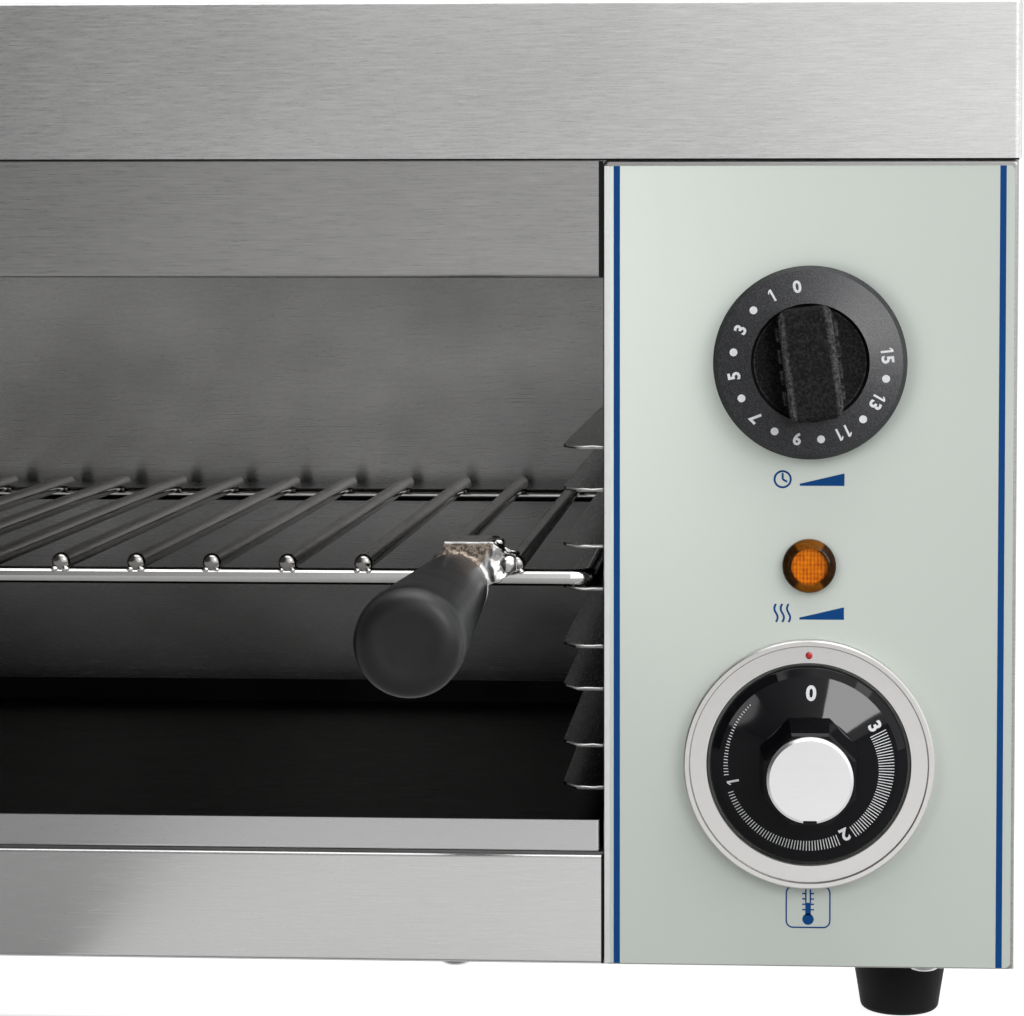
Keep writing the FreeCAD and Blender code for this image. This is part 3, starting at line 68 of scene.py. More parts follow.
def add_camera():
    panel_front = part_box("control_panel")[0].y
    centre_x = PHOTO_WIDTH / 2 - CAMERA_SHIFT_X * PHOTO_WIDTH
    centre_y = VANISHING_Y + FOCAL_PIXELS * math.tan(CAMERA_PITCH)
    yaw = math.atan((VANISHING_X - centre_x) * math.cos(CAMERA_PITCH) / FOCAL_PIXELS)
    data = bpy.data.cameras.new("photo_camera")
    data.sensor_width = SENSOR_WIDTH
    data.lens = FOCAL_PIXELS / PHOTO_WIDTH * SENSOR_WIDTH
    data.shift_x = CAMERA_SHIFT_X
    data.shift_y = (centre_y - PHOTO_HEIGHT / 2) / PHOTO_WIDTH
    camera = bpy.data.objects.new("photo_camera", data)
    camera.location = (CAMERA_X, panel_front - CAMERA_DISTANCE, CAMERA_Z)
    camera.rotation_euler = (math.pi / 2 - CAMERA_PITCH, 0.0, yaw)
    bpy.context.scene.collection.objects.link(camera)
    bpy.context.scene.camera = camera


add_camera()


# Places from the frame


def middle_of(node):
    low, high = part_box(node)
    return (low + high) / 2


overlay_low, overlay_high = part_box("control_overlay")
PANEL_FACE = overlay_low.y
TIMER = middle_of("timer_shaft")
HEAT = middle_of("regulator_shaft")
LAMP = middle_of("pilot_lens")


# Node helpers

# Noise keeps mostly between these two values
NOISE_LOW = 0.3
NOISE_HIGH = 0.7


class Nodes:
    """A node tree whose nodes are added and joined with short calls."""

    def __init__(self, tree, coordinates):
        self.tree = tree
        self.place = self.node("ShaderNodeTexCoord").outputs[coordinates]

    def node(self, kind, **settings):
        made = self.tree.nodes.new(kind)
        for name, setting in settings.items():
            setattr(made, name, setting)
        return made

    def join(self, output, target):
        self.tree.links.new(output, target)

    def axis(self, name):
        """One coordinate."""
        split = self.node("ShaderNodeSeparateXYZ")
        self.join(self.place, split.inputs["Vector"])
        return split.outputs[name]

    def ramp(self, value, stops):
        """Colours along a value: pairs of place and colour."""
        made = self.node("ShaderNodeValToRGB")
        self.join(value, made.inputs["Fac"])
        elements = made.color_ramp.elements
        while len(elements) < len(stops):
            elements.new(0.5)
        for element, (spot, colour) in zip(elements, stops):
            element.position = spot
            element.color = (*colour, 1.0)
        return made.outputs["Color"]

    def span(self, value, low, high, new_low, new_high):
        """A value moved from one range to another."""
        made = self.node("ShaderNodeMapRange")
        ends = ("From Min", "From Max", "To Min", "To Max")
        for end, number in zip(ends, (low, high, new_low, new_high)):
            made.inputs[end].default_value = number
        self.join(value, made.inputs["Value"])
        return made.outputs["Result"]

    def mix(self, factor, first, second, blend="MIX"):
        """One colour over another: outputs, or a plain number or colour."""
        made = self.node("ShaderNodeMix", data_type="RGBA", blend_type=blend)
        for name, term in (("Factor", factor), ("A", first), ("B", second)):
            if isinstance(term, (float, tuple)):
                made.inputs[name].default_value = term
            else:
                self.join(term, made.inputs[name])
        return made.outputs["Result"]


class Shader(Nodes):
    """A material, in the object's own coordinates, in metres."""

    def __init__(self, name):
        self.material = bpy.data.materials.new(name)
        self.material.use_nodes = True
        super().__init__(self.material.node_tree, "Object")
        self.surface = self.tree.nodes["Principled BSDF"]
        self.painted = None
        self.normal = None

    def set(self, **numbers):
        """Constant values on the surface's own sockets."""
        for name, number in numbers.items():
            self.surface.inputs[name.replace("_", " ")].default_value = number

    def colour(self, output):
        self.painted = output
        self.join(output, self.surface.inputs["Base Color"])

    def roughness(self, value, start, end, low=NOISE_LOW, high=NOISE_HIGH):
        """Roughness that goes from one number to another as a value rises."""
        self.join(self.span(value, low, high, start, end), self.surface.inputs["Roughness"])

    def noise(self, scale, detail=3.0, rough=0.5):
        """Noise that is stretched by three factors."""
        mapping = self.node("ShaderNodeMapping")
        mapping.inputs["Scale"].default_value = scale
        self.join(self.place, mapping.inputs["Vector"])
        texture = self.node("ShaderNodeTexNoise")
        texture.inputs["Scale"].default_value = 1.0
        texture.inputs["Detail"].default_value = detail
        texture.inputs["Roughness"].default_value = rough
        self.join(mapping.outputs["Vector"], texture.inputs["Vector"])
        return texture.outputs["Fac"]

    def fade(self, value, first, second, low=NOISE_LOW, high=NOISE_HIGH):
        """One colour up to a low value, another from a high one."""
        return self.ramp(value, [(low, first), (high, second)])

    def maths(self, operation, first, second=None, third=None):
        """Arithmetic on outputs and plain numbers."""
        made = self.node("ShaderNodeMath", operation=operation)
        for socket, term in zip(made.inputs, (first, second, third)):
            if isinstance(term, (int, float)):
                socket.default_value = term
            elif term is not None:
                self.join(term, socket)
        return made.outputs[0]

    def reach(self, middle):
        """The distance from the line that runs straight back through a place, in metres."""
        across = self.maths("SUBTRACT", self.axis("X"), middle.x)
        up = self.maths("SUBTRACT", self.axis("Z"), middle.z)
        square = self.maths("MULTIPLY_ADD", up, up, self.maths("MULTIPLY", across, across))
        return self.maths("SQRT", square)

    def bump(self, height, distance):
        """Relief over whatever relief there is already."""
        made = self.node("ShaderNodeBump")
        made.inputs["Strength"].default_value = 1.0
        made.inputs["Distance"].default_value = distance
        self.join(height, made.inputs["Height"])
        if self.normal is not None:
            self.join(self.normal, made.inputs["Normal"])
        self.normal = made.outputs["Normal"]
        self.join(self.normal, self.surface.inputs["Normal"])


def grey(level, warm=0.0):
    """A grey, a little warm or cool."""
    return (level * (1 + warm), level, level * (1 - warm))


def even(scale):
    """The same scale three ways."""
    return (scale, scale, scale)


# Materials

# Brushed grain: noise scales along X, Y and Z, in cycles to the metre
LEVEL_GRAIN = (75.0, 1500.0, 2500.0)
DEEP_GRAIN = (2200.0, 100.0, 2200.0)
EVEN_GRAIN = even(500.0)

# The axis about which the shine spreads, and its turn, for each grain
SHINE = {LEVEL_GRAIN: ("X", 0.0), DEEP_GRAIN: ("Y", 0.0), EVEN_GRAIN: ("Z", 0.25)}
SHINE_SPREAD = 0.55

# Finer streaks lie over the grain, and clouds over both
FINE_GRAIN = 3.1
CLOUDS = (7.0, 7.0, 11.0)
CLOUD_SHARE = 0.35
TONE_LOW = 0.34
TONE_HIGH = 0.66
STREAK_LOW = 0.35
STREAK_HIGH = 0.65
STEEL_RELIEF = 0.0022 * MM


def brushed_steel(name, level, grain, roughness, warm=0.0, contrast=0.05):
    """Brushed sheet: fine streaks along the grain in colour, gloss and relief, with broad clouding."""
    shader = Shader(name)
    streaks = shader.noise(grain, detail=3.0, rough=0.65)
    fine = shader.noise(tuple(FINE_GRAIN * part for part in grain), detail=2.0, rough=0.7)
    clouds = shader.noise(CLOUDS, detail=2.0)
    lines = shader.maths("MULTIPLY_ADD", fine, 0.5, shader.maths("MULTIPLY", streaks, 0.5))
    lined = shader.maths("MULTIPLY", lines, 1 - CLOUD_SHARE)
    tone = shader.maths("MULTIPLY_ADD", clouds, CLOUD_SHARE, lined)
    dark = grey(level * (1 - contrast), warm)
    light = grey(level * (1 + contrast), warm)
    shader.colour(shader.fade(tone, dark, light, TONE_LOW, TONE_HIGH))
    smooth, rough = roughness
    shader.roughness(lines, smooth, rough, low=STREAK_LOW, high=STREAK_HIGH)
    axis, turn = SHINE[grain]
    tangent = shader.node("ShaderNodeTangent", direction_type="RADIAL", axis=axis)
    shader.join(tangent.outputs["Tangent"], shader.surface.inputs["Tangent"])
    shader.set(Metallic=1.0, Anisotropic=SHINE_SPREAD, Anisotropic_Rotation=turn)
    shader.bump(lines, STEEL_RELIEF)
    return shader


def steel(*args, **settings):
    return brushed_steel(*args, **settings).material


# Plating is a little darker under its smears, and smoother or rougher by these factors
SMEARS = (90.0, 60.0, 90.0)
SMEAR_DARKER = 0.92
SMEAR_SMOOTHER = 0.6
SMEAR_ROUGHER = 1.5
PITS = even(700.0)


def chrome(name, level, roughness, pit_depth=0.006 * MM, warm=0.01):
    """Bright plating with faint smears and fine pits."""
    shader = Shader(name)
    smears = shader.noise(SMEARS, detail=4.0)
    shader.colour(shader.fade(smears, grey(level * SMEAR_DARKER, warm), grey(level, warm)))
    shader.roughness(smears, roughness * SMEAR_SMOOTHER, roughness * SMEAR_ROUGHER)
    shader.set(Metallic=1.0)
    shader.bump(shader.noise(PITS), pit_depth)
    return shader.material


# Mouldings are clouded: darker or lighter, and smoother or rougher, by these factors
MOULDING_CLOUDS = even(120.0)
CLOUD_DARKER = 0.8
CLOUD_LIGHTER = 1.15
CLOUD_SMOOTHER = 0.88
CLOUD_ROUGHER = 1.1


def moulding(name, colour, roughness, pebble=None, coat=0.0, specular=0.5, metallic=0.0):
    """Moulded plastic or rubber, clouded in colour and gloss, with an optional pebbled skin.

    A pebbled skin is a noise scale and a depth.
    """
    shader = Shader(name)
    clouds = shader.noise(MOULDING_CLOUDS, detail=3.0)
    darker = tuple(part * CLOUD_DARKER for part in colour)
    lighter = tuple(min(1.0, part * CLOUD_LIGHTER) for part in colour)
    shader.colour(shader.fade(clouds, darker, lighter))
    shader.roughness(clouds, roughness * CLOUD_SMOOTHER, roughness * CLOUD_ROUGHER)
    shader.set(Coat_Weight=coat, Specular_IOR_Level=specular, Metallic=metallic)
    if pebble:
        scale, depth = pebble
        shader.bump(shader.noise(even(scale), detail=2.0), depth)
    return shader.material


# The timer's finger bar stands in a recess, turned a little, and is rubbed at its edges and in a
# band along each side
RECESS_RADIUS = 15.85 * MM
RECESS_ROUGH = 0.66
RECESS_SHINE = 0.10
BAR_TURN = math.radians(8.1)
WORN_EDGE = 1.0 * MM
EDGE_FLAT = 0.985
EDGE_SHARP = 0.90
EDGE_WORN = 0.8
BAND_FROM = 5.1 * MM
BAND_TO = 7.0 * MM
BAND_FADE_IN = 0.8 * MM
BAND_FADE_OUT = 0.3 * MM
BAND_WORN = 0.7


def bar_wear(shader):
    """How far the finger bar is rubbed, from 0 to 1."""
    bevel = shader.node("ShaderNodeBevel", samples=6)
    bevel.inputs["Radius"].default_value = WORN_EDGE
    true_normal = shader.node("ShaderNodeNewGeometry").outputs["True Normal"]
    turned = shader.node("ShaderNodeVectorMath", operation="DOT_PRODUCT")
    shader.join(bevel.outputs["Normal"], turned.inputs[0])
    shader.join(true_normal, turned.inputs[1])
    edges = shader.span(turned.outputs["Value"], EDGE_FLAT, EDGE_SHARP, 0.0, EDGE_WORN)
    along_x = shader.maths("SUBTRACT", shader.axis("X"), TIMER.x)
    along_z = shader.maths("SUBTRACT", shader.axis("Z"), TIMER.z)
    leant = shader.maths("MULTIPLY", along_z, math.sin(BAR_TURN))
    across = shader.maths("ABSOLUTE", shader.maths("MULTIPLY_ADD", along_x, math.cos(BAR_TURN), leant))
    starts = shader.span(across, BAND_FROM, BAND_FROM + BAND_FADE_IN, 0.0, BAND_WORN)
    ends = shader.span(across, BAND_TO, BAND_TO + BAND_FADE_OUT, 0.0, BAND_WORN)
    return shader.maths("MAXIMUM", edges, shader.maths("SUBTRACT", starts, ends))


# The knob's face round the recess falls away a little, like a flat cone
FACE_ROUGH = 0.30
FACE_SHINE = 0.36
FACE_SLOPE = 0.12
FLECKS = even(2600.0)
FLECK_DEPTH = 0.05 * MM
RECESS_GRAIN = even(1300.0)


def timer_moulding():
    """A black moulding: its face catches light in fine grey flecks, and inside the recess it is dull."""
    shader = Shader("timer_black")
    reach = shader.reach(TIMER)
    outside = shader.maths("GREATER_THAN", reach, RECESS_RADIUS)
    flecks = shader.noise(FLECKS, detail=3.0, rough=0.7)
    coarse = shader.noise(RECESS_GRAIN, detail=4.0, rough=0.75)
    face = shader.fade(flecks, (0.005, 0.005, 0.006), (0.036, 0.037, 0.041), low=0.42, high=0.60)
    inner = shader.fade(coarse, grey(0.002), grey(0.016), low=0.44, high=0.62)
    rubbed = shader.fade(coarse, grey(0.015), grey(0.10), low=0.40, high=0.62)
    shader.colour(shader.mix(outside, shader.mix(bar_wear(shader), inner, rubbed), face))
    shader.roughness(outside, RECESS_ROUGH, FACE_ROUGH, low=0.0, high=1.0)
    shine = shader.span(outside, 0.0, 1.0, RECESS_SHINE, FACE_SHINE)
    shader.join(shine, shader.surface.inputs["Specular IOR Level"])
    shader.bump(flecks, FLECK_DEPTH)
    cone = shader.maths("MULTIPLY", shader.maths("MAXIMUM", reach, RECESS_RADIUS), -1.0)
    shader.bump(cone, FACE_SLOPE)
    return shader.material


# The cast brackets' raw skin: how far it keeps from their ends, its lean, and the flange over it
SKIN_FROM_END = 6.2 * MM
SKIN_LEAN = 0.6
SKIN_ROUGH = 0.45
SKIN_GRAIN = even(1100.0)
SKIN_DEPTH = 0.02 * MM
PLATED_ROUGH = 0.16
FLANGE_THICK = 0.7 * MM


def cast_plating():
    """Bright plating, but the face between the flange and the grip is left rough and brownish."""
    shader = Shader("cast_plating")
    low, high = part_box("handle_brackets")
    half = (high.x - low.x) / 2
    off = shader.maths("ABSOLUTE", shader.maths("SUBTRACT", shader.axis("X"), low.x + half))
    leant = shader.maths("MULTIPLY", shader.maths("SUBTRACT", high.z, shader.axis("Z")), SKIN_LEAN)
    inner = shader.maths("LESS_THAN", shader.maths("ADD", off, leant), half - SKIN_FROM_END)
    under = shader.maths("LESS_THAN", shader.axis("Z"), high.z - FLANGE_THICK)
    raw = shader.maths("MULTIPLY", inner, under)
    grain = shader.noise(SKIN_GRAIN, detail=4.0, rough=0.75)
    smears = shader.noise(MOULDING_CLOUDS, detail=3.0)
    plated = shader.fade(smears, grey(0.56, 0.015), grey(0.80, 0.01))
    skin = shader.fade(grain, (0.10, 0.08, 0.065), (0.62, 0.52, 0.43), low=0.40, high=0.60)
    shader.colour(shader.mix(raw, plated, skin))
    shader.roughness(raw, PLATED_ROUGH, SKIN_ROUGH, low=0.0, high=1.0)
    shader.set(Metallic=1.0)
    shader.bump(grain, SKIN_DEPTH)
    return shader.material


OVERLAY_DARK = (0.482, 0.523, 0.481)
OVERLAY_LIGHT = (0.500, 0.540, 0.498)
OVERLAY_CLOUDS = even(9.0)
OVERLAY_GRAIN = even(900.0)
OVERLAY_RELIEF = 0.008 * MM


def overlay_face():
    """The pale grey-green printed sheet: fine matt grain under a soft sheen."""
    shader = Shader("overlay_face")
    grain = shader.noise(OVERLAY_GRAIN, detail=2.0)
    clouds = shader.noise(OVERLAY_CLOUDS, detail=2.0)
    shader.colour(shader.fade(clouds, OVERLAY_DARK, OVERLAY_LIGHT))
    shader.roughness(grain, 0.34, 0.44)
    shader.bump(grain, OVERLAY_RELIEF)
    return shader.material


INK_GRAIN = even(1500.0)
INK_DARKER = 0.9
INK_SHINE = 0.15
INK_RELIEF = 0.004 * MM


def ink(name, colour):
    """Printed marks: a matt film, a little uneven."""
    shader = Shader(name)
    grain = shader.noise(INK_GRAIN, detail=2.0)
    darker = tuple(part * INK_DARKER for part in colour)
    shader.colour(shader.fade(grain, darker, colour, low=0.35, high=0.65))
    shader.roughness(grain, 0.42, 0.52)
    shader.set(Specular_IOR_Level=INK_SHINE)
    shader.bump(grain, INK_RELIEF)
    return shader.material


# The lamp's window has a moulded grid of cells; the ring round it is darker at its two sides and painted
# lighter at its top and bottom, as painted reflections
CELL_WIDE = 0.95 * MM
CELL_HIGH = 1.25 * MM
CELL_COLUMNS = 0.16
CELL_ROWS = 0.10
CELL_RELIEF = 0.02 * MM
RING_FROM = 4.55 * MM
RING_FULL = 4.95 * MM
GLOSS_FROM = 4.5 * MM
GLOSS_FULL = 5.0 * MM
SIDE_FROM = 0.50
SIDE_FULL = 0.62
LENS_GRAIN = even(900.0)


def amber_lens():
    """An amber window with a fine moulded grid inside a darker clear ring, whose top and bottom are painted
    lighter as reflections.
    """
    shader = Shader("amber_glass")
    reach = shader.reach(LAMP)
    columns = shader.maths("SINE", shader.maths("MULTIPLY", shader.axis("X"), 2 * math.pi / CELL_WIDE))
    rows = shader.maths("SINE", shader.maths("MULTIPLY", shader.axis("Z"), 2 * math.pi / CELL_HIGH))
    cloud = shader.noise(LENS_GRAIN, detail=3.0)
    rows_only = shader.maths("MULTIPLY", rows, CELL_ROWS)
    grid = shader.maths("MULTIPLY_ADD", columns, CELL_COLUMNS, rows_only)
    tone = shader.maths("ADD", grid, cloud)
    window = shader.fade(tone, (0.29, 0.053, 0.0), (0.60, 0.162, 0.0), low=0.2, high=0.8)
    across = shader.maths("ABSOLUTE", shader.maths("SUBTRACT", shader.axis("X"), LAMP.x))
    sideways = shader.span(shader.maths("DIVIDE", across, reach), SIDE_FROM, SIDE_FULL, 0.0, 1.0)
    # Painted reflections: the ring's top and bottom are lighter than its sides
    pale = shader.fade(cloud, (0.11, 0.034, 0.003), (0.18, 0.060, 0.004))
    dark = shader.fade(cloud, (0.012, 0.005, 0.001), (0.030, 0.011, 0.002))
    edge = shader.span(reach, RING_FROM, RING_FULL, 0.0, 1.0)
    shader.colour(shader.mix(edge, window, shader.mix(sideways, pale, dark)))
    shader.roughness(reach, 0.35, 0.10, low=GLOSS_FROM, high=GLOSS_FULL)
    shader.set(Specular_IOR_Level=0.06)
    shader.bump(tone, CELL_RELIEF)
    return shader.material


# The inside is painted darker toward the tray, as painted shade: darkest below one height and clearest above
# another, with random smears over it
SHADE_LOW = 60.0 * MM
SHADE_HIGH = 230.0 * MM
SOOT_SMEARS = (9.0, 9.0, 14.0)
PAINTED_LIGHT_BY_HEIGHT = 0.62
SOOT_SMEAR_LEAST = 0.02
SOOT_SMEAR_MOST = 0.28


def cavity_steel(name, level, grain, spread):
    """Brushed sheet inside the cooking space: clear at the top and painted darker toward the tray as shade,
    with random smears.
    """
    shader = brushed_steel(name, level, grain, (0.20, 0.29), warm=0.012, contrast=0.10)
    shader.set(Anisotropic=spread)
    smears = shader.noise(SOOT_SMEARS, detail=3.0, rough=0.5)
    # Painted shade: the colour grows darker as the height falls
    height = shader.span(shader.axis("Z"), SHADE_LOW, SHADE_HIGH, 0.0, PAINTED_LIGHT_BY_HEIGHT)
    smeared = shader.span(smears, NOISE_LOW, NOISE_HIGH, SOOT_SMEAR_LEAST, SOOT_SMEAR_MOST)
    clear = shader.maths("ADD", height, smeared)
    dull = shader.ramp(clear, [(0.05, grey(0.08)), (0.40, grey(0.44)), (0.75, grey(1.0))])
    shader.colour(shader.mix(1.0, shader.painted, dull, blend="MULTIPLY"))
    return shader.material


# The tray is bright as far behind its front as this, and painted dark beyond, as painted shade on its inside
TRAY_BRIGHT = 1.0 * MM
TRAY_SHADED = 1.4 * MM
TRAY_MOTTLE = (25.0, 40.0, 25.0)


def tray_steel():
    """Brushed steel whose inside is painted dark as shade, mottled at random; the front lip stays bright."""
    shader = brushed_steel("tray_steel", 0.50, LEVEL_GRAIN, (0.26, 0.36))
    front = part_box("crumb_tray")[0].y
    mottle = shader.noise(TRAY_MOTTLE, detail=4.0)
    # Painted shade: the tray's inside is a near-black, mottled at random
    tray_shade = shader.fade(mottle, grey(0.007), grey(0.017, 0.03))
    inside = shader.span(shader.axis("Y"), front + TRAY_BRIGHT, front + TRAY_SHADED, 0.0, 1.0)
    shader.set(Specular_Tint=(0.8, 0.8, 0.8, 1.0))
    shader.colour(shader.mix(inside, shader.painted, tray_shade))
    return shader.material


# A steel has its level of grey, grain and roughness from and to; a moulding its colour and roughness
MATERIALS = {
    # The lid, guard, apron and control column are one brushed steel at levels set to how light each looks,
    # which paints light and shade into them
    "outer_steel": steel("outer_steel", 0.60, LEVEL_GRAIN, (0.25, 0.34), warm=0.01, contrast=0.20),
    "lid_steel": steel("lid_steel", 0.68, LEVEL_GRAIN, (0.24, 0.34), warm=0.006, contrast=0.26),
    "guard_steel": steel("guard_steel", 0.44, LEVEL_GRAIN, (0.26, 0.36), warm=0.012, contrast=0.22),
    "apron_steel": steel("apron_steel", 0.56, LEVEL_GRAIN, (0.22, 0.28), warm=0.006, contrast=0.09),
    "column_steel": steel("column_steel", 0.42, LEVEL_GRAIN, (0.26, 0.36), warm=0.012, contrast=0.2),
    "base_steel": steel("base_steel", 0.50, LEVEL_GRAIN, (0.35, 0.5), contrast=0.15),
    "cavity_steel": cavity_steel("cavity_steel", 0.74, LEVEL_GRAIN, 0.88),
    "side_steel": steel("side_steel", 0.60, DEEP_GRAIN, (0.26, 0.36), warm=0.01, contrast=0.2),
    # The runners take the cavity's painted shade by height too
    "runner_steel": cavity_steel("runner_steel", 0.70, DEEP_GRAIN, 0.55),
    "hood_steel": steel("hood_steel", 0.45, LEVEL_GRAIN, (0.2, 0.3), warm=0.02),
    "tray_steel": tray_steel(),
    "overlay_green": overlay_face(),
    "chrome_rod": chrome("chrome_rod", 0.74, 0.09),
    "black_grip": moulding("black_grip", (0.012, 0.012, 0.013), 0.36, pebble=(900.0, 0.01 * MM),
                           specular=0.4),
    "black_phenolic": timer_moulding(),
    "gloss_black": moulding("gloss_black", (0.003, 0.003, 0.004), 0.04, specular=0.2),
    "satin_ring": steel("satin_ring", 0.64, EVEN_GRAIN, (0.30, 0.38), warm=0.02, contrast=0.03),
    "cap_steel": steel("cap_steel", 0.80, LEVEL_GRAIN, (0.30, 0.40), contrast=0.03),
    "red_jewel": moulding("red_jewel", (0.55, 0.01, 0.012), 0.15, coat=0.5),
    "amber_lens": amber_lens(),
    "element_sheath": steel("element_sheath", 0.16, EVEN_GRAIN, (0.4, 0.6), warm=0.05, contrast=0.3),
    "brass_fitting": moulding("brass_fitting", (0.62, 0.45, 0.18), 0.3, metallic=1.0),
    "ceramic_white": moulding("ceramic_white", (0.70, 0.69, 0.64), 0.35, coat=0.2),
    "mineral_wool": moulding("mineral_wool", (0.52, 0.48, 0.36), 0.95, pebble=(700.0, 0.6 * MM)),
    "device_case": moulding("device_case", (0.05, 0.05, 0.05), 0.5, pebble=(900.0, 0.03 * MM)),
    "zinc_steel": steel("zinc_steel", 0.55, EVEN_GRAIN, (0.3, 0.4)),
    "black_plastic": moulding("black_plastic", (0.02, 0.02, 0.02), 0.4, pebble=(1200.0, 0.03 * MM)),
    "lead_wire": moulding("lead_wire", (0.30, 0.06, 0.03), 0.6, pebble=(2500.0, 0.08 * MM)),
    "foot_rubber": moulding("foot_rubber", (0.006, 0.006, 0.006), 0.6, pebble=(1300.0, 0.04 * MM),
                            specular=0.1),
    "screw_steel": chrome("screw_steel", 0.62, 0.16),
    "cast_chrome": cast_plating(),
    "weld_chrome": chrome("weld_chrome", 0.70, 0.14, pit_depth=0.04 * MM, warm=0.02),
    # The rods are the frame's plating at a darker, warmer level: the darker level is painted, standing for
    # the dark cavity they mirror
    "rod_chrome": chrome("rod_chrome", 0.34, 0.13, warm=0.04),
    # Painted highlight: the white of the runners' bright edge lines
    "painted_edge_highlight": chrome("painted_edge_highlight", 0.95, 0.45),
    # Painted highlight: the near-white of the control panel's left edge
    "margin_steel": steel("margin_steel", 0.95, EVEN_GRAIN, (0.40, 0.50), contrast=0.03),
    # Painted shadow: the black of the seam strips
    "painted_shadow_black": moulding("painted_shadow_black", (0.006, 0.006, 0.006), 0.6, specular=0.2),
    "blue_ink": ink("blue_ink", (0.0005, 0.062, 0.240)),
    "white_ink": ink("white_ink", (0.84, 0.85, 0.86)),
}

# Nodes whose material isn't that of their slot: some have a finish of their own, and the front sheets are
# one steel at levels that paint their light and shade
OWN_MATERIAL = {
    "top_cover": "lid_steel",
    "upper_front_guard": "guard_steel",
    "lower_front_panel": "apron_steel",
    "control_panel": "column_steel",
    "side_panel_left": "side_steel",
    "side_panel_right": "side_steel",
    "crumb_tray": "tray_steel",
    "rack_runners_left": "runner_steel",
    "rack_runners_right": "runner_steel",
    "reflector": "hood_steel",
    "rack_rods": "rod_chrome",
    "handle_grips": "black_grip",
    "knob_cap": "cap_steel",
}
SLOTS = {part["node"]: part["material_slot"] for part in frame["record"]["subparts"]}


def dress_nodes():
    """Give each carried-over node its material."""
    for name, node in frame["nodes"].items():
        node.data.materials.clear()
        node.data.materials.append(MATERIALS[OWN_MATERIAL.get(name, SLOTS[name])])


dress_nodes()


# Pieces

# Print is as thick as this
FILM = 0.03 * MM


def place_mesh(mesh, material, body):
    """A piece of the scene from a mesh, which lends it its name."""
    mesh.materials.clear()
    mesh.materials.append(MATERIALS[material])
    piece = bpy.data.objects.new(mesh.name, mesh)
    bpy.context.scene.collection.objects.link(piece)
    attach(piece, body)
    return piece


def add_piece(name, shape, material, body):
    """A piece of the scene from a filled bmesh."""
    mesh = bpy.data.meshes.new(name)
    bmesh.ops.recalc_face_normals(shape, faces=shape.faces)
    shape.to_mesh(mesh)
    shape.free()
    return place_mesh(mesh, material, body)


def shade_smooth(mesh):
    for face in mesh.polygons:
        face.use_smooth = True


def add_plate(shape, corners):
    """A thin closed plate whose corners are (across, up) pairs, with its back at out = 0."""
    rims = []
    for out in (0.0, FILM):
        rims.append([shape.verts.new((across, out, up)) for across, up in corners])
    shape.faces.new(rims[0])
    shape.faces.new(reversed(rims[1]))
    for index in range(len(corners)):
        following = (index + 1) % len(corners)
        shape.faces.new((rims[0][index], rims[0][following], rims[1][following], rims[1][index]))


def add_band(shape, outer, inner):
    """A thin closed ring between two loops with the same number of (across, up) corners."""
    count = len(outer)
    loops = [
        [shape.verts.new((across, out, up)) for across, up in loop]
        for out in (0.0, FILM)
        for loop in (outer, inner)
    ]
    back_outer, back_inner, front_outer, front_inner = loops
    for index in range(count):
        after = (index + 1) % count
        for first, second in (
            (back_outer, back_inner),
            (back_inner, front_inner),
            (front_inner, front_outer),
            (front_outer, back_outer),
        ):
            shape.faces.new((first[index], first[after], second[after], second[index]))


def ring_of(radius, count=48, centre=(0.0, 0.0)):
    """Points on a circle as (across, up) pairs."""
    turns = [2 * math.pi * index / count for index in range(count)]
    return [(centre[0] + radius * math.sin(turn), centre[1] + radius * math.cos(turn)) for turn in turns]


def stroke(shape, points, width):
    """A flat line of one width through (across, up) points."""
    left = []
    right = []
    for index, (across, up) in enumerate(points):
        before = points[max(index - 1, 0)]
        after = points[min(index + 1, len(points) - 1)]
        run = Vector((after[0] - before[0], after[1] - before[1])).normalized() * width / 2
        left.append((across - run.y, up + run.x))
        right.append((across + run.y, up - run.x))
    for index in range(len(points) - 1):
        add_plate(shape, [left[index], left[index + 1], right[index + 1], right[index]])


# Figures: the pitch, and the stem and flag of a 1, in shares of the height, with the flag's slope in
# shares of the flag. The font's own figures are made this much bolder.
FIGURE_PITCH = 0.72
ONE_STEM = 0.17
ONE_FLAG = 0.17
FLAG_DROP = 1.9
FIGURE_WEIGHT = 0.035


def add_one(shape, height, across):
    """The figure 1, with its flag, beside the middle of a number."""
    half = ONE_STEM * height / 2
    top = height / 2
    flag = ONE_FLAG * height
    left, right = across - half, across + half
    add_plate(shape, [(left, -top), (right, -top), (right, top), (left, top)])
    add_plate(shape, [(left, top), (left - flag, top - flag), (left - flag, top - FLAG_DROP * flag),
                      (left, top - flag)])


def add_digit(shape, digit, height, across):
    """One figure beside the middle of a number: the built-in font's, but for the 1."""
    if digit == "1":
        add_one(shape, height, across + ONE_FLAG * height / 2)
        return
    curve = bpy.data.curves.new("figure", "FONT")
    curve.body = digit
    curve.resolution_u = 4
    curve.offset = FIGURE_WEIGHT
    curve.extrude = 0.5
    holder = bpy.data.objects.new("figure", curve)
    bpy.context.scene.collection.objects.link(holder)
    mesh = bpy.data.meshes.new_from_object(holder)
    xs = [vertex.co.x for vertex in mesh.vertices]
    ys = [vertex.co.y for vertex in mesh.vertices]
    middle = Vector(((min(xs) + max(xs)) / 2, (min(ys) + max(ys)) / 2, 0.0))
    scale = height / (max(ys) - min(ys))
    for vertex in mesh.vertices:
        spot = (vertex.co - middle) * scale
        out = FILM if vertex.co.z > 0 else 0.0
        vertex.co = (across + spot.x, out, spot.y)
    shape.from_mesh(mesh)
    bpy.data.objects.remove(holder)
    bpy.data.curves.remove(curve)
    bpy.data.meshes.remove(mesh)


